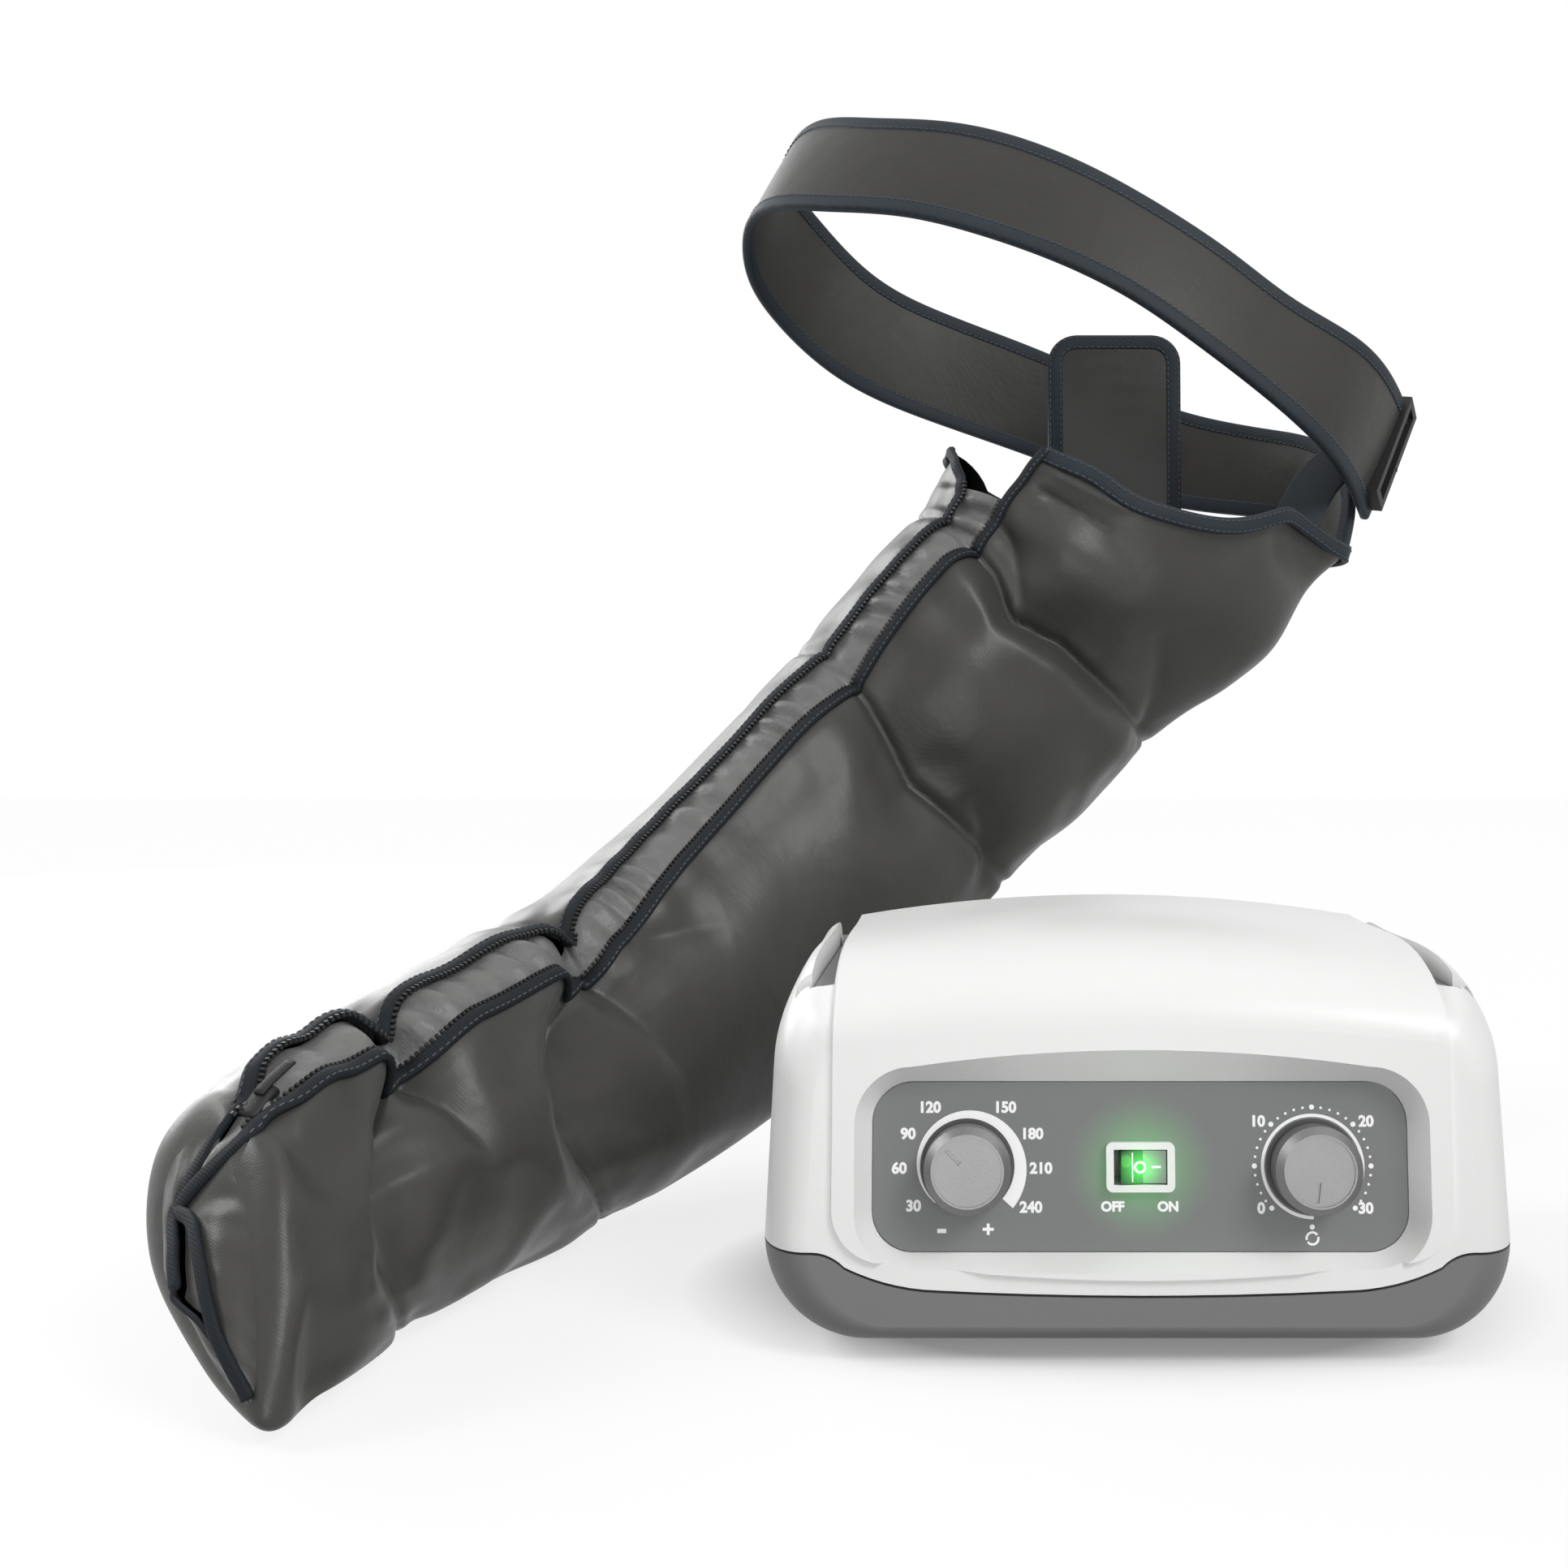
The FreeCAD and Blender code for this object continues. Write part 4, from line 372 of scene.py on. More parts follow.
class Finishes:
    """The finishes of the set."""

    white_shell = Finish("white_shell_finish", (0.8, 0.8, 0.795), 0.36, mottle=0.012, grain_depth=0.000006)
    grey_shell = Finish("grey_shell_finish", (0.145, 0.145, 0.145), 0.5, mottle=0.03)
    # The panel's green glow near the rocker is painted light from the rocker lens, not a lamp of the panel's
    # own
    panel_grey = Finish(
        "panel_grey_painted_glow_finish", (0.165, 0.165, 0.167), 0.55, Surface.LIT, mottle=0.03, grain_depth=0.000015,
        glow=0.36, glow_reach=0.024,
    )
    satin_metal = Finish(
        "satin_metal_finish", (0.2, 0.2, 0.2), 0.45, Surface.TURNED, metallic=1.0, mottle=0.16, grain=0.0004,
        grain_depth=0.00005,
    )
    steel = Finish("steel_finish", (0.58, 0.58, 0.58), 0.3, Surface.TURNED, metallic=1.0, grain=0.0004)
    green_lens = Finish(
        "green_lens_finish", (0.004, 0.03, 0.008), 0.16, Surface.LIT, coat=0.6, mottle=0.25, patch=0.004,
        glow=1.3, glow_reach=0.0085,
    )
    handle_grey = Finish("handle_grey_finish", (0.27, 0.27, 0.27), 0.5, mottle=0.04)
    black_rubber = Finish("black_rubber_finish", (0.022, 0.022, 0.023), 0.72, mottle=0.2, grain=0.0009)
    pump_metal = replace(
        steel, name="pump_metal_finish", color=(0.45, 0.45, 0.46), roughness=0.48, grain=0.0012
    )
    inner_plastic = Finish("inner_plastic_finish", (0.66, 0.65, 0.61), 0.5, mottle=0.04)
    black_plastic = Finish("black_plastic_finish", (0.016, 0.016, 0.017), 0.5, specular=0.25, mottle=0.15)
    board_green = Finish("board_green_finish", (0.02, 0.16, 0.05), 0.35, coat=0.4, mottle=0.2, patch=0.006)
    core_steel = Finish("core_steel_finish", (0.05, 0.05, 0.055), 0.45, Surface.RIBBED, mottle=0.2)
    brass = replace(steel, name="brass_finish", color=(0.66, 0.48, 0.2))
    sleeve = Finish(
        "sleeve_fabric_finish", (0.049, 0.048, 0.046), 0.37, Surface.WOVEN, sheen=0.05, specular=0.3,
        patch=0.022, grain=0.0006, grain_depth=0.00004, crumple=0.0004,
    )
    # The strap's cloth: the sleeve's cloth darkened as painted shade, with less gloss
    strap = replace(
        sleeve, name="strap_shaded_fabric_finish", color=(0.04, 0.039, 0.037), roughness=0.45, specular=0.2
    )
    # The zip strip's grey: its own paler cloth, brightened further as painted top light
    gusset = Finish(
        "gusset_fabric_finish", (0.15, 0.149, 0.147), 0.42, Surface.WOVEN, sheen=0.1, specular=0.4,
        mottle=0.12, patch=0.01, grain=0.0007, grain_depth=0.00005, crumple=0.001,
    )
    tape = Finish(
        "zip_tape_finish", (0.012, 0.0145, 0.018), 0.66, Surface.RIBBED, specular=0.16, mottle=0.25,
        grain=0.0004, grain_depth=0.00008,
    )
    binding = Finish(
        "binding_fabric_finish", (0.024, 0.031, 0.039), 0.6, Surface.RIBBED, specular=0.2, mottle=0.22,
        grain_depth=0.0001,
    )
    # The lining's cloth: the sleeve's cloth darkened as painted shade for the hollow inside the sleeve
    lining = Finish(
        "lining_painted_shade_finish", (0.02, 0.02, 0.021), 0.6, Surface.WOVEN, specular=0.2, mottle=0.2,
        crumple=0.0008,
    )
    thread = Finish("thread_finish", (0.06, 0.07, 0.085), 0.6, Surface.RIBBED, mottle=0.2, grain=0.0002)
    print_white = Finish("print_white_finish", (0.95, 0.95, 0.95), 0.5, mottle=0.02)
    # A near black for the rings round the knobs, which are painted shadow of the knobs
    pointer = Finish("knob_shadow_paint_finish", (0.05, 0.05, 0.05), 0.5, mottle=0.1)

    @classmethod
    def of_slot(cls, slot: str) -> Finish:
        """The finish that a material slot of the record takes."""
        soft = {
            "sleeve_fabric": cls.sleeve,
            "gusset_fabric": cls.gusset,
            "zip_tape": cls.tape,
            "binding_fabric": cls.binding,
        }
        return soft.get(slot) or getattr(cls, slot)


@dataclass
class Shape:
    """Points in millimetres in the unit's own frame, and the faces that join them."""

    points: np.ndarray
    faces: list

    @staticmethod
    def grid(points: np.ndarray, tube: bool = False) -> "Shape":
        """A sheet of four-sided faces.

        Args:
            points: Rows and columns of points.
            tube: Whether the last column joins the first.

        Returns:
            The sheet.
        """
        rows, columns = points.shape[:2]
        index = np.arange(rows * columns).reshape(rows, columns)
        if tube:
            index = np.hstack([index, index[:, :1]])
        corners = (index[:-1, :-1], index[:-1, 1:], index[1:, 1:], index[1:, :-1])
        faces = np.stack([c.ravel() for c in corners], axis=1).tolist()
        return Shape(points.reshape(-1, 3), faces)

    @staticmethod
    def joined(shapes: Iterable["Shape"]) -> "Shape":
        """Several shapes as one."""
        points, faces, start = [], [], 0
        for shape in shapes:
            points.append(shape.points)
            faces.extend([[i + start for i in face] for face in shape.faces])
            start += len(shape.points)
        return Shape(np.concatenate(points), faces)

    def flipped(self) -> "Shape":
        """The same shape with its faces turned over."""
        return Shape(self.points, [face[::-1] for face in self.faces])

    def capped(self, turned: bool = False) -> "Shape":
        """A tube closed with a face at each end.

        Args:
            turned: Whether its faces were drawn the other way round.

        Returns:
            The closed tube.
        """
        count = self.faces[0][3] - self.faces[0][0]
        last = len(self.points) - count
        ends = [list(range(count))[::-1], list(range(last, last + count))]
        return Shape(self.points, self.faces + [end[::-1] if turned else end for end in ends])

    def mesh(self, name: str) -> bpy.types.Mesh:
        """The shape as a mesh, in metres."""
        made = bpy.data.meshes.new(name)
        made.from_pydata(((self.points + UNIT_PLACE) * MM).tolist(), [], self.faces)
        made.validate()
        return made

    def piece(
        self, name: str, finish: Finish, slot: str, body: str = ROOT, smooth: bool = True
    ) -> bpy.types.Object:
        """Make the shape an object of the scene.

        Args:
            name: The piece's name.
            finish: Its finish.
            slot: The record's material slot of the piece; not used.
            body: The body that it rides on.
            smooth: Whether its faces shade as one rounded surface.

        Returns:
            The object.
        """
        mesh = self.mesh(name)
        mesh.polygons.foreach_set("use_smooth", [smooth] * len(mesh.polygons))
        mesh.materials.append(finish.material())
        made = bpy.data.objects.new(name, mesh)
        bpy.context.scene.collection.objects.link(made)
        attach(made, body)
        LOG.info("%s: %d faces", name, len(self.faces))
        return made


def oblong(width: float, height: float, corner: float) -> np.ndarray:
    """The outline of a rounded oblong round the origin.

    Args:
        width: Its size along the first axis.
        height: Its size along the second axis.
        corner: The radius of its corners.

    Returns:
        The outline's points, anticlockwise.
    """
    steps = 3
    corner = min(corner, width / 2, height / 2)
    out = []
    for quarter, (sx, sy) in enumerate(((1, 1), (-1, 1), (-1, -1), (1, -1))):
        for turn in np.linspace(quarter * math.pi / 2, (quarter + 1) * math.pi / 2, steps):
            x = sx * (width / 2 - corner) + corner * math.cos(turn)
            y = sy * (height / 2 - corner) + corner * math.sin(turn)
            out.append((x, y))
    return np.array(out)


@dataclass
class Route:
    """A line in space with a sideways and an upward direction at each of its points."""

    STUD_TAPER = 0.75

    points: np.ndarray
    side: np.ndarray
    up: np.ndarray

    @staticmethod
    def along(points: np.ndarray, up: np.ndarray) -> "Route":
        """A route through points, with its sideways direction worked out from the upward one."""
        ahead = unit_length(np.gradient(points, axis=0))
        up = unit_length(up - ahead * np.sum(up * ahead, axis=1, keepdims=True))
        return Route(points, unit_length(np.cross(up, ahead)), up)

    def shifted(self, side: Any = 0.0, up: Any = 0.0) -> "Route":
        """The route moved sideways and upwards."""
        side = np.broadcast_to(np.asarray(side, float), len(self.points))[:, None]
        up = np.broadcast_to(np.asarray(up, float), len(self.points))[:, None]
        return Route(self.points + self.side * side + self.up * up, self.side, self.up)

    def swept(self, ring: np.ndarray, scale: Any = 1.0) -> Shape:
        """A bar with one outline all along the route.

        Args:
            ring: The outline, in shares of the sideways and upward directions.
            scale: The outline's size at each point.

        Returns:
            The bar.
        """
        scale = np.broadcast_to(np.asarray(scale, float), len(self.points))[:, None, None]
        flat = ring[None] * scale
        points = self.points[:, None] + self.side[:, None] * flat[..., :1] + self.up[:, None] * flat[..., 1:]
        return Shape.grid(points, tube=True).capped()

    def studs(self, length: float, width: float, height: float, pitch: float) -> Shape:
        """Small blocks that taper upwards, set along the route.

        Args:
            length: A block's size along the route.
            width: Its size sideways.
            height: Its size upwards, from the route.
            pitch: The distance from one block to the next.

        Returns:
            All the blocks.
        """
        steps = np.linalg.norm(np.diff(self.points, axis=0), axis=1)
        reach = np.r_[0.0, np.cumsum(steps)]
        at = np.arange(pitch / 2, reach[-1], pitch)
        middle, side, up = (read_off(at, reach, part) for part in (self.points, self.side, self.up))
        ahead = unit_length(np.cross(side, up))
        corners = []
        for level, share in ((0.0, 1.0), (height, self.STUD_TAPER)):
            for a, b in ((-1, -1), (1, -1), (1, 1), (-1, 1)):
                along = ahead * (a * share * length / 2)
                corners.append(middle + along + side * (b * share * width / 2) + up * level)
        points = np.stack(corners, axis=1).reshape(-1, 3)
        block = ((3, 2, 1, 0), (4, 5, 6, 7), (0, 1, 5, 4), (1, 2, 6, 5), (2, 3, 7, 6), (3, 0, 4, 7))
        faces = [[8 * i + c for c in face] for i in range(len(at)) for face in block]
        return Shape(points, faces)

    def sewn(self, apart: float, up: float, stitch: tuple) -> Shape:
        """A row of stitches on each side of the route.

        Args:
            apart: How far each row is from the route.
            up: How far above it they lie.
            stitch: A stitch's length, width, height and pitch.

        Returns:
            Both rows.
        """
        return Shape.joined([self.shifted(side=end * apart, up=up).studs(*stitch) for end in (-1, 1)])


@dataclass
class ArmForm:
    """The inflated arm: a line through its middle and an oval round it. Millimetres and degrees."""

    stops: tuple = (
        (-262.0, -125.0, 41.0), (-250.9, -64.0, 48.4), (-235.3, -3.9, 54.4), (-214.9, 54.6, 62.1),
        (-188.3, 108.7, 77.6), (-155.3, 153.6, 105.4), (-118.4, 188.3, 141.8), (-79.3, 214.4, 182.7),
        (-38.5, 233.4, 225.9), (3.8, 245.5, 270.2), (47.5, 250.0, 314.5),
    )
    bend: float = 0.33
    tall: tuple = (90.0, 130.0, 176.0)
    thick: tuple = (52.0, 105.0, 118.0)
    near_turn: float = -81.0
    near_rise: float = 0.16
    arm_point: float = 0.1
    hand_point: float = 0.5
    hand_share: float = 0.15
    mouth_share: float = 0.84
    hand_slant: float = 34.0
    mouth_slant: float = 28.0
    mouth_dip: float = 19.0
    mouth_trim: float = 3.0
    rim_turns: tuple = (
        41.0, 50.0, 66.0, 80.0, 101.0, 112.0, 120.0, 129.0, 140.0, 152.0, 165.0, 280.0, 320.0, 340.0, 355.0,
        366.0,
    )
    rim_reach: tuple = (
        9.0, 10.0, 12.0, 4.0, 6.0, 9.0, 14.0, 20.0, 16.0, 10.0, 5.0, 0.0, -15.0, -15.0, -6.0, 0.0,
    )
    rim_blur: int = 15
    rim_blur_width: float = 6.0
    zip_turn: float = 41.0
    flap_start: float = 0.86
    flap_turn: float = 366.0
    flap_spread: float = 45.0
    flap_curve: float = 1.6
    flap_pull: tuple = (-14.0, 4.0, -10.0)

    def __post_init__(self) -> None:
        """Work out the line through the middle once."""
        self.line = smooth_line(np.array(self.stops), 2001)
        reach = np.r_[0.0, np.cumsum(np.linalg.norm(np.diff(self.line, axis=0), axis=1))]
        self.length = float(reach[-1])
        self.share = reach / reach[-1]
        self.heading = unit_length(np.gradient(self.line, axis=0))
        turns = np.arange(self.zip_turn - 40, self.zip_turn + 401)
        self.rim_at = turns[self.rim_blur : -self.rim_blur]
        rough = np.interp(turns, self.rim_turns, self.rim_reach)
        self.rim_rise = softened(rough, self.rim_blur, self.rim_blur_width)

    def once_round(self, turn: Any) -> np.ndarray:
        """An angle counted once round the arm from the zip."""
        return (np.asarray(turn, float) - self.zip_turn) % 360 + self.zip_turn

    def spot(self, along: Any, turn: Any, lift: Any = 0.0) -> np.ndarray:
        """Points on the oval.

        Args:
            along: The share of the way from the hand end to the mouth.
            turn: The angle from the top towards the near side.
            lift: How far outside the oval the point is.

        Returns:
            The points.
        """
        along, turn, lift = np.broadcast_arrays(*(np.asarray(v, float) for v in (along, turn, lift)))
        inside = np.clip(along, 0, 1)
        middle = read_off(inside, self.share, self.line)
        ahead = unit_length(read_off(inside, self.share, self.heading))
        middle = middle + ahead * ((along - inside) * self.length)[..., None]
        way = math.radians(self.near_turn)
        level = [np.full_like(along, math.cos(way)), np.full_like(along, math.sin(way))]
        facing = np.stack([*level, self.near_rise * (1 - inside)], axis=-1)
        near = unit_length(facing - ahead * np.sum(facing * ahead, axis=-1, keepdims=True))
        up = unit_length(np.cross(near, ahead))
        up = up * np.where(up[..., 2:] < 0, -1.0, 1.0)
        places = (0.0, self.bend, 1.0)
        tall = np.interp(inside, places, self.tall) / 2 + lift
        thick = np.interp(inside, places, self.thick) / 2 + lift
        hand = np.clip(1 - inside / self.hand_share, 0, 1)
        mouth = np.clip((inside - self.mouth_share) / (1 - self.mouth_share), 0, 1)
        point = self.arm_point + (self.hand_point - self.arm_point) * hand
        leans = (self.hand_slant, self.mouth_slant)
        hand_lean, mouth_lean = (math.tan(math.radians(lean)) for lean in leans)
        slant = hand_lean * hand - mouth_lean * mouth
        angle = np.radians(turn)
        rise = (tall * np.cos(angle))[..., None]
        side = (thick * np.sin(angle) * (1 + point * np.cos(angle)))[..., None]
        pull = np.clip((along - self.flap_start) / (1 - self.flap_start), 0, None) ** self.flap_curve
        pull = pull * bell(self.once_round(turn) - self.flap_turn, self.flap_spread)
        round_arm = middle + up * rise + near * side + ahead * rise * slant[..., None]
        return round_arm + pull[..., None] * np.array(self.flap_pull)

    def outward(self, along: Any, turn: Any) -> np.ndarray:
        """The direction out of the oval at a place."""
        return unit_length(self.spot(along, turn, 2.0) - self.spot(along, turn, -2.0))

    def rim(self, turn: Any) -> np.ndarray:
        """Where the mouth's rim is, in shares of the line."""
        lean = math.radians(self.mouth_slant)
        rise = self.tall[2] / 2 * np.cos(np.radians(turn))
        reach = self.tall[2] / 2 / math.cos(lean)
        bow = (reach**2 + self.mouth_dip**2) / (2 * self.mouth_dip)
        drop = np.sqrt(bow**2 - (rise / math.cos(lean)) ** 2) - (bow - self.mouth_dip) + self.mouth_trim
        step = math.cos(lean) * (self.length - rise * math.tan(lean) / (1 - self.mouth_share))
        proud = np.interp(self.once_round(turn), self.rim_at, self.rim_rise)
        return 1 - drop / step + proud / self.length


@dataclass
class Seam:
    """One welded seam round the arm: where it lies at each angle, and how deep it draws the skin in."""

    turns: tuple
    places: tuple
    depth: float


@dataclass
class Fold:
    """A short fold that runs in from a seam, from one place and angle to another."""

    start: tuple
    end: tuple
    depth: float
    width: float


@dataclass
class Zip:
    """The zip along the top of the arm: two taped edges with teeth and the puffed strip between them."""

    arm: ArmForm
    places: tuple = (0.0, 0.1, 0.14, 0.19, 0.27, 0.31, 0.35, 0.45, 0.6, 0.8, 1.0)
    turns: tuple = (44.0, 45.0, 49.0, 46.0, 48.0, 52.0, 48.0, 46.0, 43.0, 40.0, 41.0)
    half_gap: float = 12.0
    pinches: tuple = (0.014, 0.142, 0.313)
    strip_end: float = 0.915
    open_from: float = 0.9
    open_turn: float = 28.0
    open_curve: float = 1.2
    pinch_width: float = 0.012
    pinch_share: float = 0.45
    hand_stop: float = 0.004
    tape_width: float = 5.2
    tape_thick: float = 2.6
    rows: int = 320

    def turn(self, along: Any) -> np.ndarray:
        """The angle of the zip's middle at a place."""
        return np.interp(along, self.places, self.turns)

    def far_open(self, along: Any) -> np.ndarray:
        """How much further round the far edge is where the zip hangs open at the mouth."""
        share = np.clip((np.asarray(along, float) - self.open_from) / (1 - self.open_from), 0, 1)
        return self.open_turn * share**self.open_curve

    def pinched(self, along: Any, pinches: tuple) -> np.ndarray:
        """One at each of some creases across the zip, and nothing between them."""
        return sum(bell(along - place, self.pinch_width) for place in pinches)

    def spread(self, along: Any) -> np.ndarray:
        """Half of the zip's opening as an angle, drawn together at the creases."""
        along = np.asarray(along, float)
        middle = self.arm.spot(along, 90.0, 0.0) * 0.5 + self.arm.spot(along, 270.0, 0.0) * 0.5
        here = np.linalg.norm(self.arm.spot(along, self.turn(along)) - middle, axis=-1)
        narrow = 1 - self.pinch_share * self.pinched(along, self.pinches)
        return np.degrees(self.half_gap * narrow / here)


@dataclass
class Sleeve:
    """The sleeve's skin: one swelling sheet from the near edge of the zip round the arm to the far edge."""

    arm: ArmForm
    zip: Zip
    rows: int = 400
    columns: int = 190
    rim_round: float = 11.0
    deepest: float = 32.0
    bare_lift: float = 1.0
    end_depths: tuple = (2.0, 0.5)
    front_turn: float = 92.0
    front_spread: float = 40.0
    back_share: float = 0.14
    valley_spans: tuple = (0.6, 0.2)
    groove: float = 5.0
    groove_width: float = 2.6
    groove_least: float = 0.3
    ripple: float = 0.5
    ripple_rates: tuple = (0.33, 0.117)
    ripple_reach: float = 14.0
    ripple_start: float = 3.0
    pinch_depth: float = 7.0
    pinch_width: float = 0.013
    pinch_spread: float = 22.0
    belly: float = 10.0
    belly_at: tuple = (0.915, 160.0)
    belly_spread: tuple = (0.05, 26.0)
    drift: float = 0.4
    drift_rates: tuple = ((41.0, 0.05), (9.0, 0.07))
    gather_depth: float = 1.7
    gather_reach: float = 18.0
    gather_start: float = 4.0
    tuck_depth: float = 26.0
    tuck_reach: float = 28.0
    tuck_turn: float = 142.0
    tuck_spread: float = 27.0
    fold_turn_scale: float = 1.2
    row_curve: float = 1.35
    seams: tuple = (
        Seam(
            (40, 60, 80, 104, 128, 176, 250, 400),
            (0.14, 0.122, 0.092, 0.073, 0.073, 0.092, 0.12, 0.14),
            22.0,
        ),
        Seam(
            (40, 60, 70, 88, 108, 132, 176, 250, 400),
            (0.312, 0.29, 0.253, 0.233, 0.23, 0.24, 0.28, 0.3, 0.312),
            23.0,
        ),
        Seam((40, 56, 96, 140, 200, 400), (0.685, 0.68, 0.66, 0.67, 0.68, 0.69), 24.0),
        Seam((40, 60, 76, 100, 172, 400), (0.835, 0.83, 0.815, 0.83, 0.84, 0.84), 24.0),
    )
    folds: tuple = (
        Fold((0.14, 60.0), (0.15, 112.0), 7.0, 8.0),
        Fold((0.312, 56.0), (0.345, 118.0), 9.0, 10.0),
        Fold((0.665, 150.0), (0.69, 116.0), 6.0, 8.0),
        Fold((0.84, 160.0), (0.885, 120.0), 7.0, 9.0),
        Fold((0.87, 54.0), (0.815, 84.0), 6.0, 8.0),
        Fold((0.93, 58.0), (0.925, 84.0), 4.5, 7.0),
        Fold((0.955, 56.0), (0.95, 82.0), -3.0, 8.0),
        Fold((0.36, 62.0), (0.44, 84.0), 4.0, 9.0),
        Fold((0.142, 300.0), (0.135, 395.0), 5.0, 8.0),
        Fold((0.313, 310.0), (0.31, 400.0), 6.0, 8.0),
    )

    def lift(self, along: np.ndarray, turn: np.ndarray, rim: np.ndarray) -> np.ndarray:
        """How far the skin stands out of the oval: pillows between the seams, with folds and puckers.

        Args:
            along: Shares of the way along the arm.
            turn: Angles round it.
            rim: Where the mouth's rim is at each of them.

        Returns:
            The lift in millimetres, mostly below nothing.
        """
        edges = [np.zeros_like(along)]
        edges += [np.interp(turn, seam.turns, seam.places) for seam in self.seams]
        edges.append(rim)
        depths = [self.end_depths[0], *(seam.depth for seam in self.seams), self.end_depths[1]]
        lift = np.full_like(along, self.bare_lift)
        facing = self.back_share + (1 - self.back_share) * bell(turn - self.front_turn, self.front_spread)
        for i in range(len(edges) - 1):
            start, end = edges[i], edges[i + 1]
            here = (along >= start) & (along <= end)
            share = np.clip((along - start) / np.maximum(end - start, 1e-6), 0, 1)
            shares = (share / self.valley_spans[0], (1 - share) / self.valley_spans[1])
            for depth, near in zip(depths[i : i + 2], shares):
                valley = np.clip(1 - near, 0, 1) ** 2
                lift = lift - np.where(here, depth * facing * valley, 0.0)
        for seam, place in zip(self.seams, edges[1:-1]):
            away = np.abs(along - place) * self.arm.length
            groove = bell(away, self.groove_width) * np.clip(facing, self.groove_least, 1)
            lift = lift - self.groove * groove
            quick, slow = self.ripple_rates
            wave = np.sin(turn * quick + seam.depth) * np.sin(turn * slow + seam.depth * 3)
            fading = np.exp(-away / self.ripple_reach) * (1 - np.exp(-away / self.ripple_start))
            lift = lift + self.ripple * wave * fading
        for fold in self.folds:
            lift = lift - self.crease(fold, along, turn)
        middle = self.zip.turn(along)
        beside = np.minimum(turn - middle, middle + 360 - turn)
        for pinch in self.zip.pinches:
            across = (along - pinch) / self.pinch_width
            lift = lift - self.pinch_depth * np.exp(-(across**2) - (beside / self.pinch_spread) ** 2)
        lift = lift + self.gather(along, turn) + self.tuck(along, turn, rim)
        far = [(v - at) / spread for v, at, spread in zip((along, turn), self.belly_at, self.belly_spread)]
        lift = lift + self.belly * np.exp(-(far[0] ** 2) - far[1] ** 2)
        first, second = waves(along, turn, self.drift_rates)
        lift = lift + self.drift * first * second
        lift = np.where(lift < 0, self.deepest * np.tanh(lift / self.deepest), lift)
        down = np.clip(1 - along * self.arm.length / self.rim_round, 0, 1)
        return lift - self.rim_round * (1 - np.sqrt(1 - down**2))

    def gather(self, along: np.ndarray, turn: np.ndarray) -> np.ndarray:
        """The small puckers where the skin is sewn to the zip's tapes, in millimetres."""
        middle = self.zip.turn(along)
        away = np.clip(np.minimum(turn - middle, middle + 360 - turn) * 1.3 - self.zip.half_gap, 0, None)
        distance = along * self.arm.length
        sway = 2.2 * np.sin(distance / 41.0)
        strength = 0.6 + 0.4 * np.sin(distance / 70.0)
        wave = np.sin(distance / 5.5 + sway) * strength
        fading = np.exp(-away / self.gather_reach) * (1 - np.exp(-away / self.gather_start))
        return self.gather_depth * wave * fading

    def tuck(self, along: np.ndarray, turn: np.ndarray, rim: np.ndarray) -> np.ndarray:
        """How far the mouth's lower corner is drawn in, in millimetres."""
        below = (rim - along) * self.arm.length
        across = (turn - self.tuck_turn) / self.tuck_spread
        return -self.tuck_depth * np.exp(-((below / self.tuck_reach) ** 2) - across**2)

    def crease(self, fold: Fold, along: np.ndarray, turn: np.ndarray) -> np.ndarray:
        """The depth of one fold over the skin.

        Args:
            fold: The fold.
            along: Shares of the way along the arm.
            turn: Angles round it.

        Returns:
            The depth in millimetres.
        """
        scale = np.array([self.arm.length, self.fold_turn_scale])
        first, last = np.array(fold.start) * scale, np.array(fold.end) * scale
        run = last - first
        x, y = along * scale[0] - first[0], turn * scale[1] - first[1]
        share = np.clip((x * run[0] + y * run[1]) / run.dot(run), 0, 1)
        away = np.hypot(x - share * run[0], y - share * run[1])
        return fold.depth * np.exp(-away / fold.width) * np.sqrt(np.clip(1.02 - share, 0, 1))

    def places(self, rows: int, columns: int) -> tuple:
        """Even places over the skin, from the near edge of the zip round to the far edge.

        Args:
            rows: How many places along the arm.
            columns: How many places round it.

        Returns:
            The shares along the arm, the angles, and the mouth's rim at each of them.
        """
        level = np.linspace(0, 1, rows)[:, None] ** self.row_curve
        share = np.linspace(0, 1, columns)[None, :]
        gap = self.zip.spread(level)
        turn = self.zip.turn(level) + gap + share * (360 - 2 * gap - self.zip.far_open(level))
        rim = self.arm.rim(turn)
        return level * rim, turn, rim

    def build(self) -> None:
        """Make the skin, swell it as cloth, and make the lining inside it, in cloth darkened as painted
        shade.
        """
        along, turn, rim = self.places(self.rows, self.columns)
        points = self.arm.spot(along, turn, self.lift(along, turn, rim))
        points = points + Swell(self).moves()
        skin = Shape.grid(points).flipped().piece("sleeve_skin", Finishes.sleeve, "sleeve_fabric")
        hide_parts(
            "hand_chamber", "forearm_chamber", "elbow_chamber", "upper_arm_chamber", "shoulder_chamber"
        )
        Lining(self).build()


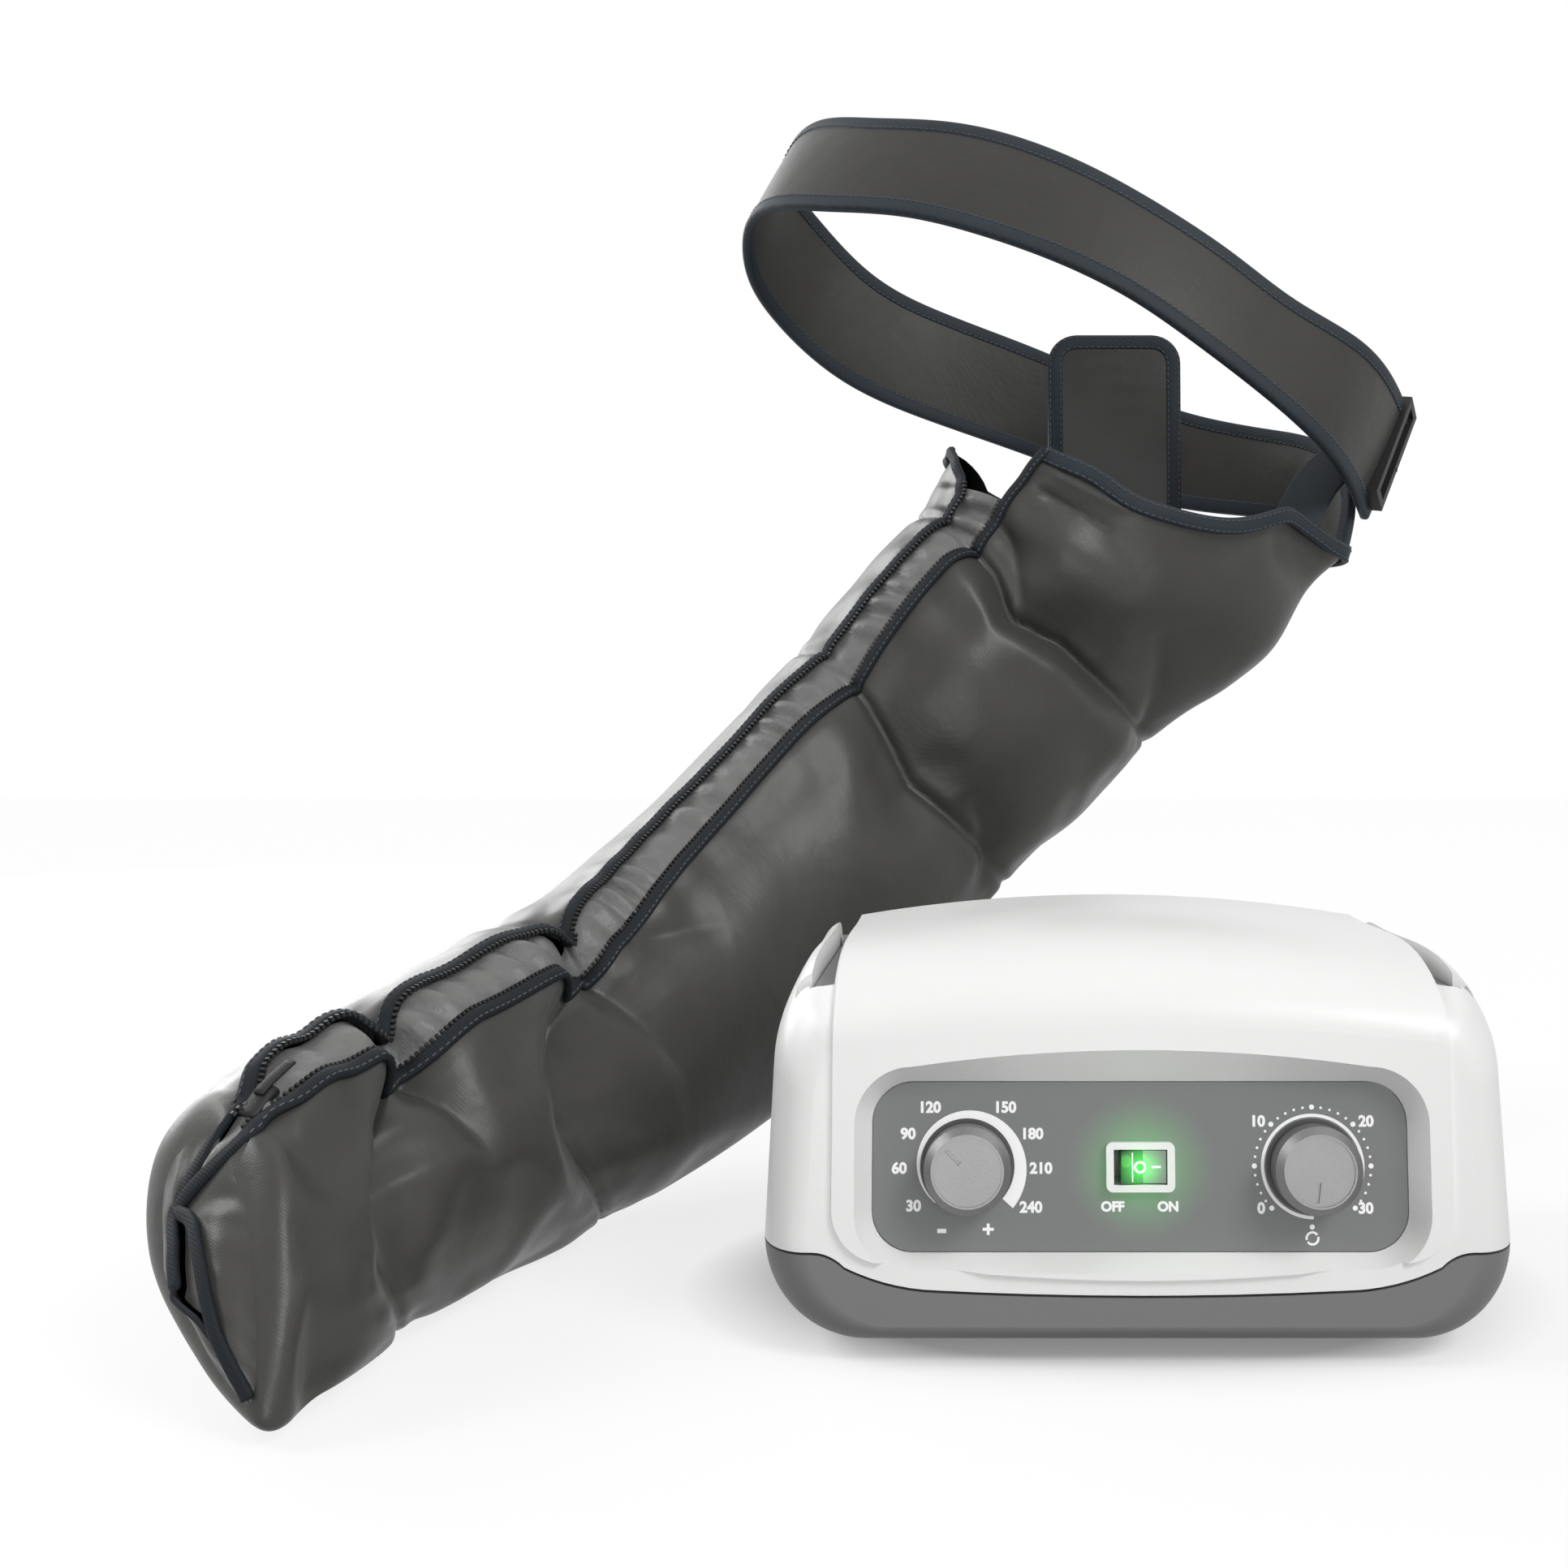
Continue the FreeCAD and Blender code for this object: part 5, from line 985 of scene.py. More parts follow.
@dataclass
class Swell:
    """A coarse copy of the sleeve's skin that is blown up as cloth, for the small folds."""

    SETTINGS = {
        "quality": 5,
        "mass": 0.15,
        "tension_stiffness": 20,
        "compression_stiffness": 20,
        "shear_stiffness": 8,
        "bending_stiffness": 4,
        "use_pressure": True,
        "uniform_pressure_force": 4,
        "shrink_min": -0.02,
    }

    sleeve: Sleeve
    rows: int = 104
    columns: int = 76
    frames: int = 20
    cap: float = 4.5
    rest: float = -2.5
    smoothings: int = 12
    seam_hold: float = 4.0
    rim_hold: float = 9.0

    def moves(self) -> np.ndarray:
        """Blow a coarse copy of the skin up as cloth that is held at its seams and rims.

        Returns:
            How far each point of the skin moves, in millimetres.
        """
        along, turn, rim = self.sleeve.places(self.rows, self.columns)
        held = self.held(along, turn, rim)
        lift = self.sleeve.lift(along, turn, rim) + self.rest * (1 - held)
        points = self.sleeve.arm.spot(along, turn, lift)
        mesh = Shape.grid(points).flipped().mesh("cloth")
        copy = bpy.data.objects.new("cloth", mesh)
        scene = bpy.context.scene
        scene.collection.objects.link(copy)
        group = copy.vertex_groups.new(name="held")
        steps = 10
        for step in range(1, steps + 1):
            chosen = np.flatnonzero(np.round(held.ravel() * steps) == step)
            group.add(chosen.tolist(), step / steps, "REPLACE")
        cloth = copy.modifiers.new("swell", "CLOTH")
        for key, value in self.SETTINGS.items():
            setattr(cloth.settings, key, value)
        cloth.settings.vertex_group_mass = group.name
        cloth.settings.effector_weights.gravity = 0
        cloth.collision_settings.use_collision = False
        cloth.point_cache.frame_start = 1
        cloth.point_cache.frame_end = self.frames
        for frame_number in range(1, self.frames + 1):
            scene.frame_set(frame_number)
        swollen = copy.evaluated_get(bpy.context.evaluated_depsgraph_get()).data
        final = np.array([v.co for v in swollen.vertices]).reshape(points.shape) / MM - UNIT_PLACE
        scene.frame_set(1)
        bpy.data.objects.remove(copy)
        bpy.data.meshes.remove(mesh)
        moved = final - self.sleeve.arm.spot(along, turn, self.sleeve.lift(along, turn, rim))
        reach = np.linalg.norm(moved, axis=-1, keepdims=True)
        LOG.info("sleeve_skin: the cloth moved %.1f mm at most", float(reach.max()))
        moved = moved * np.minimum(1.0, self.cap / np.maximum(reach, 1e-9))
        return self.finer(moved)

    def held(self, along: np.ndarray, turn: np.ndarray, rim: np.ndarray) -> np.ndarray:
        """How firmly each place of the skin is held while it swells, from nothing to one."""
        held = np.zeros_like(along)
        for seam in self.sleeve.seams:
            away = np.abs(along - np.interp(turn, seam.turns, seam.places)) * self.sleeve.arm.length
            held = np.maximum(held, bell(away, self.seam_hold))
        held = np.maximum(held, bell(along * self.sleeve.arm.length, self.rim_hold))
        held = np.maximum(held, bell((rim - along) * self.sleeve.arm.length, self.rim_hold))
        held[:, :2] = 1.0
        held[:, -2:] = 1.0
        return held

    def finer(self, coarse: np.ndarray) -> np.ndarray:
        """A coarse field of moves spread smoothly over the skin's own rows and columns."""
        moves = coarse
        for axis, count in ((0, self.sleeve.rows), (1, self.sleeve.columns)):
            at = np.linspace(0, moves.shape[axis] - 1, count)
            first = np.minimum(at.astype(int), moves.shape[axis] - 2)
            share = (at - first).reshape((-1, 1, 1) if axis == 0 else (1, -1, 1))
            moves = np.take(moves, first, axis) * (1 - share) + np.take(moves, first + 1, axis) * share
            for _ in range(self.smoothings):
                ends = np.concatenate([np.take(moves, [0], axis), moves, np.take(moves, [-1], axis)], axis)
                low, high = np.arange(count), np.arange(count) + 2
                moves = moves * 0.5 + (np.take(ends, low, axis) + np.take(ends, high, axis)) * 0.25
        return moves


@dataclass
class Lining:
    """The lining inside the sleeve, in the sleeve's cloth darkened as painted shade for the hollow."""

    sleeve: Sleeve
    rows: int = 120
    columns: int = 90
    gap: float = 1.2
    wall: float = 26.0
    reach: float = 40.0
    wave: float = 0.9
    wave_rates: tuple = ((30.0, 0.11), (55.0, 0.03))
    calm: float = 20.0

    def build(self) -> None:
        """Make the lining from the mouth's rim down to the hand."""
        along, turn, rim = self.sleeve.places(self.rows, self.columns)
        depth = (rim - along) * self.sleeve.arm.length
        lift = -self.gap - self.wall * (1 - np.exp(-depth / self.reach))
        first, second = waves(along, turn, self.wave_rates)
        wave = self.wave * first * second
        lift = lift + wave * np.clip(depth / self.calm, 0, 1) + self.sleeve.tuck(along, turn, rim)
        points = self.sleeve.arm.spot(along, turn, lift)
        # The lining wears the sleeve's cloth darkened as painted shade
        made = Shape.grid(points).piece("sleeve_lining", Finishes.lining, "sleeve_fabric")
        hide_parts("shoulder_chamber")


@dataclass
class HandEnd:
    """The closed end at the hand: two puffed panels beside a slit that the zip's tapes run down."""

    arm: ArmForm
    zip: Zip
    sleeve: Sleeve
    rim_round: float = 11.0
    puff: float = 1.5
    pucker: float = 3.0
    bulge: float = 7.0
    low_turn: float = 172.0
    corner_place: float = 0.006
    blur: int = 8
    blur_width: float = 3.0
    near_down: tuple = (0.0, 0.012, 0.03, 0.06, 0.1, 0.18, 0.25, 0.36, 0.46, 0.61, 0.74, 0.9, 1.0)
    near_across: tuple = (1.2, 0.8, 0.1, -0.33, -0.37, -0.04, 0.1, 0.16, 0.19, 0.14, 0.04, 0.08, 0.28)
    far_down: tuple = (0.0, 0.02, 0.05, 0.1, 0.25, 0.44, 0.46, 0.53, 0.63, 0.72, 0.8, 0.9, 1.0)
    far_across: tuple = (0.75, 0.1, -0.5, -0.49, -0.44, -0.54, -0.7, -0.56, -0.29, -0.15, -0.04, 0.03, 0.24)

    def slit(self, share: np.ndarray, side: int) -> np.ndarray:
        """One edge of the slit, from the zip down to the lowest point.

        Args:
            share: Shares of the way down.
            side: One for the near edge and minus one for the far edge.

        Returns:
            The edge's points.
        """
        share = np.asarray(share, float)
        top = math.cos(math.radians(float(self.zip.turn(0.0))))
        low = math.cos(math.radians(self.low_turn))
        turn = np.degrees(np.arccos(top + (low - top) * share))
        near = self.arm.spot(0.0, turn, -self.rim_round)
        far = self.arm.spot(0.0, -turn, -self.rim_round)
        down, across = (self.near_down, self.near_across) if side > 0 else (self.far_down, self.far_across)
        fine = np.linspace(0, 1, 201)
        rough = np.pad(np.interp(fine, down, across), self.blur, mode="edge")
        part = (np.interp(share, fine, softened(rough, self.blur, self.blur_width)) + 1) / 2
        bulge = self.bulge * np.sin(math.pi * np.clip(share, 0, 1))
        return far + (near - far) * part[:, None] + self.outside() * bulge[:, None]

    def outside(self) -> np.ndarray:
        """The direction out of the hand end."""
        round_rim = self.arm.spot(0.0, np.array([0.0, 90.0, 180.0]))
        flat = unit_length(np.cross(round_rim[1] - round_rim[0], round_rim[2] - round_rim[0]))
        return flat * (1.0 if flat[1] < 0 else -1.0)

    def build(self) -> None:
        """Make the two panels."""
        share = np.linspace(0, 1, 60)
        across = np.linspace(0, 1, 24)[None, :]
        gap = float(self.zip.spread(0.0))
        turn = float(self.zip.turn(0.0))
        panels = []
        for side, last in ((1, 180.0), (-1, -180.0)):
            first = turn + side * gap
            around = first + (last - first) * share
            start = np.zeros_like(share)
            lift = self.sleeve.lift(start, self.arm.once_round(around), start + 1)
            round_rim = self.arm.spot(0.0, around, lift)
            slit = self.slit(share, side)
            flat = slit[:, None] + (round_rim - slit)[:, None] * across[..., None]
            swell = self.puff * np.sin(math.pi * across) ** 2 * np.sin(math.pi * share)[:, None] ** 0.5
            pucker = self.pucker * np.sin(share[:, None] * 46) * across**3 * (1 - across)
            flat = flat + self.outside() * (swell + pucker)[..., None]
            level = np.array([self.corner_place])
            corner = self.arm.once_round(np.array([first]))
            top = self.arm.spot(level, corner, self.sleeve.lift(level, corner, level * 0 + 1))
            brim = slit[:1] + (top - slit[:1]) * across[0][:, None]
            panel = Shape.grid(np.concatenate([brim[None], flat]))
            panels.append(panel if side > 0 else panel.flipped())
        made = Shape.joined(panels).piece("hand_end_panels", Finishes.sleeve, "sleeve_fabric")
        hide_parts("hand_end")


@dataclass
class ZipBuild:
    """Makes the zip's tapes, teeth and puffed strip, over the arm and down the hand end."""

    sleeve: Sleeve
    hand: HandEnd
    tooth: tuple = (1.3, 1.9, 1.3, 2.1)
    stitch: tuple = (1.7, 0.45, 0.25, 2.8)
    far_cut: float = 0.42
    far_thin: float = 0.34
    hand_thinning: float = 0.2
    slit_starts: tuple = (0.012, 0.035)
    slit_rows: int = 80
    corner_smoothings: int = 8
    strip_puff: float = 3.2
    strip_crumple: float = 2.0
    strip_sunk: float = 1.5
    flat_at: float = 0.045
    flat_width: float = 0.025
    flat_share: float = 0.75
    pinch_share: float = 0.9
    pinch_depth: float = 3.0
    hand_share: float = 0.8

    def edge(self, side: int) -> Route:
        """The taped edge beside the zip, from the mouth to the foot of the slit.

        Args:
            side: One for the near edge and minus one for the far edge.

        Returns:
            The edge's route, with its upward direction out of the sleeve.
        """
        zip_line, arm = self.sleeve.zip, self.sleeve.arm
        along = np.linspace(1, zip_line.hand_stop, zip_line.rows)
        turn = zip_line.turn(along) + side * zip_line.spread(along)
        if side < 0:
            turn = turn - zip_line.far_open(along)
        along = along * arm.rim(turn)
        around = np.where(turn < zip_line.turn(along), turn + 360, turn)
        lift = self.sleeve.lift(along, around, arm.rim(turn))
        points = arm.spot(along, turn, lift)
        up = arm.outward(along, turn)
        start = self.slit_starts[0 if side > 0 else 1]
        down = self.hand.slit(np.linspace(start, 1, self.slit_rows), side)
        points = np.concatenate([points, down])
        up = np.concatenate([up, np.tile(self.hand.outside(), (len(down), 1))])
        first, last = zip_line.rows - 4, zip_line.rows + 6
        for _ in range(self.corner_smoothings):
            for line in (points, up):
                before, after = line[first - 1 : last - 1], line[first + 1 : last + 1]
                line[first:last] = (before + line[first:last] * 2 + after) / 4
        return Route.along(points, up)

    def build(self) -> None:
        """Make both tapes, their teeth and stitches, and the strip between them."""
        zip_line = self.sleeve.zip
        ring = oblong(zip_line.tape_width, zip_line.tape_thick, 1.1)
        first = int(zip_line.rows * (1 - zip_line.strip_end))
        teeth = []
        stitches = []
        for side, name in ((1, "near"), (-1, "far")):
            route = self.edge(side)
            count = len(route.points)
            down = np.clip((np.arange(count) - zip_line.rows) / (count - zip_line.rows), 0, 1)
            scale = 1 - self.hand_thinning * np.clip(down * 12, 0, 1)
            if side < 0:
                scale = np.where(down > self.far_cut, self.far_thin, scale)
            tape = route.shifted(up=0.9).swept(ring, scale=scale)
            made = tape.piece(f"zip_tape_{name}_band", Finishes.tape, "zip_tape")
            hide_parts(f"zip_tape_{name}")
            arm_part = Route.along(route.points[: zip_line.rows - 2], route.up[: zip_line.rows - 2])
            closed = Route(arm_part.points[first:], arm_part.side[first:], arm_part.up[first:])
            inward = closed.shifted(side=-side * (zip_line.tape_width / 2 + 0.5), up=0.7)
            teeth.append(inward.studs(*self.tooth))
            stitches.append(arm_part.shifted(side=side * 1.6, up=2.15).studs(*self.stitch))
        Shape.joined(teeth).piece("zip_teeth", Finishes.black_plastic, "black_plastic", smooth=False)
        Shape.joined(stitches).piece("zip_stitches", Finishes.thread, "zip_tape", smooth=False)
        self.build_strip()
        self.build_slider()

    def bar(self, part: slice, up: float, ring: np.ndarray) -> Shape:
        """A bar along the middle of the zip.

        Args:
            part: The rows of the zip's edges that it covers.
            up: How far above the edges it lies.
            ring: Its outline.

        Returns:
            The bar.
        """
        near, far = self.edge(1), self.edge(-1)
        route = Route.along((near.points[part] + far.points[part]) / 2, near.up[part] + far.up[part])
        return route.shifted(up=up).swept(ring)

    def build_slider(self) -> None:
        """Make the slider where the zip is closed, with its pull lying on the strip."""
        end = self.sleeve.zip.rows
        body = self.bar(slice(end - 9, end - 3), 0.6, oblong(7.0, 3.8, 1.6))
        pull = self.bar(slice(end - 15, end - 6), 3.0, oblong(3.4, 1.2, 0.5))
        made = Shape.joined([body, pull]).piece("zip_slider_body", Finishes.black_plastic, "black_plastic")
        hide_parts("zip_slider")

    def build_strip(self) -> None:
        """Make the puffed strip of cloth between the tapes."""
        near, far = self.edge(1), self.edge(-1)
        zip_line = self.sleeve.zip
        rows, stop = zip_line.rows, zip_line.hand_stop
        first = int(rows * (1 - zip_line.strip_end))
        share = np.linspace(0, 1, 18)[None, :]
        count = len(near.points)
        hand = np.clip((np.arange(first, count) - rows) / 6.0, 0, 1)
        sunk = (self.strip_sunk + self.strip_sunk * hand)[:, None]
        low_near = near.points[first:] - near.up[first:] * sunk
        low_far = far.points[first:] - far.up[first:] * sunk
        along = np.r_[np.linspace(1, stop, rows), np.full(count - rows, stop)][first:]
        up = unit_length(near.up[first:] + far.up[first:])
        flat = low_near[:, None] + (low_far - low_near)[:, None] * share[..., None]
        distance = along[:, None] * self.sleeve.arm.length
        puff = self.strip_puff * np.sin(math.pi * share) ** 0.7
        sway = 3 * np.sin(distance * 0.05)
        strength = 0.7 + 0.5 * np.sin(distance * 0.083)
        crumple = np.sin(distance * 0.4 + sway + share * 2.4) * np.sin(math.pi * share) ** 0.6
        crumple = crumple * strength
        flat_part = bell(along - self.flat_at, self.flat_width)[:, None]
        pinch = zip_line.pinched(along, zip_line.pinches[1:])[:, None]
        pinch = pinch * (1 - hand)[:, None]
        rise = (puff + self.strip_crumple * crumple) * (1 - self.flat_share * flat_part)
        rise = rise * (1 - self.pinch_share * pinch) * (1 - self.hand_share * hand[:, None])
        rise = rise - self.pinch_depth * pinch
        made = Shape.grid(flat + up[:, None] * rise[..., None]).piece(
            "zip_strip", Finishes.gusset, "gusset_fabric"
        )
        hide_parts("zip_gusset")


@dataclass
class Mouth:
    """The bound rim of the sleeve's mouth."""

    arm: ArmForm
    zip: Zip
    sleeve: Sleeve
    band: float = 8.0
    thick: float = 3.4
    columns: int = 300
    stitch: tuple = (2.2, 0.5, 0.3, 3.4)
    stitch_at: float = 2.6

    def build(self) -> None:
        """Make the binding round the rim and its two rows of stitches."""
        gap = float(self.zip.spread(1.0))
        last = self.arm.zip_turn - gap - float(self.zip.far_open(1.0)) + 360
        turn = np.linspace(self.arm.zip_turn + gap, last, self.columns)
        rim = self.arm.rim(turn)
        place = rim - self.band / 2 / self.arm.length
        lift = self.sleeve.lift(place, turn, rim)
        route = Route.along(self.arm.spot(place, turn, lift), self.arm.outward(place, turn))
        ring = oblong(self.band, self.thick, 1.6)
        band = route.swept(ring).piece("mouth_binding_band", Finishes.binding, "binding_fabric")
        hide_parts("mouth_binding", "hand_binding")
        sewn = route.sewn(self.stitch_at, self.thick / 2, self.stitch)
        sewn.piece("mouth_stitches", Finishes.thread, "binding_fabric", smooth=False)


@dataclass
class Strap:
    """The shoulder strap: a padded band with bound edges that loops from the far rim round to the buckle."""

    far: tuple = (
        ((122.0, 289.5, 285.0), (137.5, 262.0, 286.5)), ((128.5, 296.0, 291.5), (146.0, 283.0, 317.0)),
        ((131.0, 306.0, 300.0), (143.0, 306.0, 343.0)),
        ((114.3, 336, 312.5), (115.7, 344, 363.0)),
        ((63.8, 361, 322.7), (64.8, 369, 379.3)), ((-9.0, 371, 349.6), (-3.9, 379, 411.6)),
        ((-73.6, 366, 371.8), (-69.1, 374, 435.9)), ((-123.1, 351, 391.5), (-110.0, 359, 454.9)),
        ((-157.0, 331, 418.2), (-140.0, 339, 481.9)), ((-169.5, 308, 436.2), (-150.1, 316, 495.1)),
    )
    near: tuple = (
        ((-167.9, 279.0, 451.2), (-142.9, 301.0, 508.4)), ((-124.4, 225.6, 447.6), (-100.1, 247.6, 499.0)),
        ((-84.4, 208.3, 439.5), (-61.2, 230.3, 490.6)), ((-46.8, 198.9, 427.5), (-24.8, 220.9, 478.6)),
        ((-11.0, 194.5, 413.3), (9.3, 216.5, 462.5)), ((23.0, 194.5, 396.3), (41.7, 216.5, 444.1)),
        ((54.9, 198.9, 375.8), (73.3, 220.9, 424.6)), ((86.8, 208.3, 354.4), (105.1, 230.3, 404.6)),
        ((118.7, 225.6, 331.3), (141.3, 247.6, 388.7)), ((150.3, 279.0, 304.7), (178.0, 299.0, 362.1)),
    )
    webbing: tuple = (
        (106.0, 250.0, 292.0), (117.0, 262.0, 311.0), (131.0, 276.0, 329.0), (150.0, 286.0, 339.0),
        (168.0, 288.0, 341.0),
    )
    webbing_front: tuple = (-0.25, -0.85, 0.35)
    webbing_width: float = 24.0
    webbing_thick: float = 2.4
    thick: float = 3.0
    crown: float = 0.9
    binding: float = 8.5
    stitch: tuple = (2.0, 0.5, 0.4, 3.2)
    rows: int = 300

    def edges(self) -> tuple:
        """The band's lower and upper edges, from the far rim to the buckle."""
        stops = np.array([np.concatenate(pair) for pair in self.far + self.near], float)
        line = smooth_line(stops, self.rows)
        return line[:, :3], line[:, 3:]

    def build(self) -> None:
        """Make the band, its bound edges, the loop and the stitches."""
        low, high = self.edges()
        width = np.linalg.norm(high - low, axis=1)
        across = unit_length(high - low)
        route = Route.along((low + high) / 2, across)
        face = route.side
        share = np.linspace(-1, 1, 13)
        crown = self.thick / 2 + self.crown * (1 - share**2)
        ring = np.concatenate([np.stack([crown, share], 1), np.stack([-crown, share], 1)[::-1]])
        half = (width / 2 - 1)[:, None, None]
        flat = ring[None, :, :1] * face[:, None] + ring[None, :, 1:] * across[:, None] * half
        band = Shape.grid(route.points[:, None] + flat, tube=True).capped(turned=True)
        # The band wears the sleeve's cloth darkened as painted shade
        made = band.piece("strap_band", Finishes.strap, "sleeve_fabric")
        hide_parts("shoulder_strap")
        edges, stitches = [], []
        ring = oblong(self.thick + 1.8, self.binding, 1.6)
        for end in (-1, 1):
            edge = Route(route.points, face, across).shifted(up=end * (width / 2 - self.binding / 2))
            edges.append(edge.swept(ring))
            for side in (-1, 1):
                sewn = edge.shifted(side=side * (self.thick / 2 + 0.8), up=-end * (self.binding / 2 - 1.4))
                turned = Route(sewn.points, sewn.up, sewn.side * side)
                stitches.append(turned.studs(*self.stitch))
        Shape.joined(edges).piece("strap_binding", Finishes.binding, "binding_fabric")
        self.build_webbing()
        Shape.joined(stitches).piece("strap_stitches", Finishes.thread, "binding_fabric", smooth=False)

    def build_webbing(self) -> None:
        """Make the loop of webbing that joins the buckle to the sleeve."""
        line = smooth_line(np.array(self.webbing), 40)
        facing = np.tile(np.array(self.webbing_front), (len(line), 1))
        loop = Route.along(line, facing).swept(oblong(self.webbing_width, self.webbing_thick, 1.1))
        made = loop.piece("strap_webbing", Finishes.binding, "binding_fabric")
        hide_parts("strap_loop")


@dataclass
class Tab:
    """The padded tab that stands in the mouth, with a bound and stitched edge."""

    middle: tuple = (23.5, 303.0)
    top: float = 405.0
    width: float = 70.0
    height: float = 104.0
    corner: float = 15.0
    thick: float = 4.0
    lean: float = 3.0
    crown: float = 0.9
    crown_reach: float = 9.0
    binding: float = 8.0
    binding_lift: float = 0.6
    stitch: tuple = (2.0, 0.5, 0.3, 3.2)
    stitch_at: float = 2.7

    def half_width(self, down: np.ndarray) -> np.ndarray:
        """Half of the tab's width at a distance below its top."""
        inside = np.clip(self.corner - down, 0, self.corner)
        return self.width / 2 - self.corner + np.sqrt(self.corner**2 - inside**2)

    def outline(self, inset: float) -> np.ndarray:
        """The tab's outline, drawn in by a distance, from the lower left round the top to the lower right."""
        corner = max(2.0, self.corner - inset)
        half, high = self.width / 2 - inset, -inset
        left = [(-half, y) for y in np.linspace(-self.height, high - corner, 24)]
        turns = np.linspace(0, math.pi / 2, 9)[1:-1]
        first = [(-half + corner * (1 - math.cos(t)), high - corner * (1 - math.sin(t))) for t in turns]
        flat = [(x, high) for x in np.linspace(-half + corner, half - corner, 20)]
        rest = [(-x, y) for x, y in (left + first)[::-1]]
        return np.array(left + first + flat + rest)

    def placed(self, flat: np.ndarray, out: Any) -> np.ndarray:
        """Points of the tab's own plane in the unit's frame."""
        right, up, front = leaning(self.lean)
        base = np.array([*self.middle, self.top])
        return base + flat[:, :1] * right + flat[:, 1:] * up + front * out

    def build(self) -> None:
        """Make the pad, its binding and its stitches."""
        down = self.height * np.linspace(0.002, 1, 60) ** 1.5
        share = np.linspace(-1, 1, 25)
        half = self.half_width(down) - 0.5
        flat = np.stack([half[:, None] * share, np.repeat(-down[:, None], len(share), axis=1)], axis=-1)
        rounded = (1 - share**4)[None] * (1 - np.exp(-down / self.crown_reach))[:, None]
        crown = self.thick / 2 + self.crown * rounded
        faces = []
        for side in (1, -1):
            out = side * crown.reshape(-1, 1)
            sheet = Shape.grid(self.placed(flat.reshape(-1, 2), out).reshape(*flat.shape[:2], 3))
            faces.append(sheet if side > 0 else sheet.flipped())
        made = Shape.joined(faces).piece("tab_pad", Finishes.sleeve, "sleeve_fabric")
        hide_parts("shoulder_tab")
        line = self.placed(self.outline(self.binding / 2), self.binding_lift)
        route = Route.along(line, np.tile(leaning(self.lean)[2], (len(line), 1)))
        band = route.swept(oblong(self.binding, self.thick + 1.0, 1.4))
        band.piece("tab_binding", Finishes.binding, "binding_fabric")
        sewn = route.sewn(self.stitch_at, self.thick / 2 + 0.5, self.stitch)
        sewn.piece("tab_stitches", Finishes.thread, "binding_fabric", smooth=False)


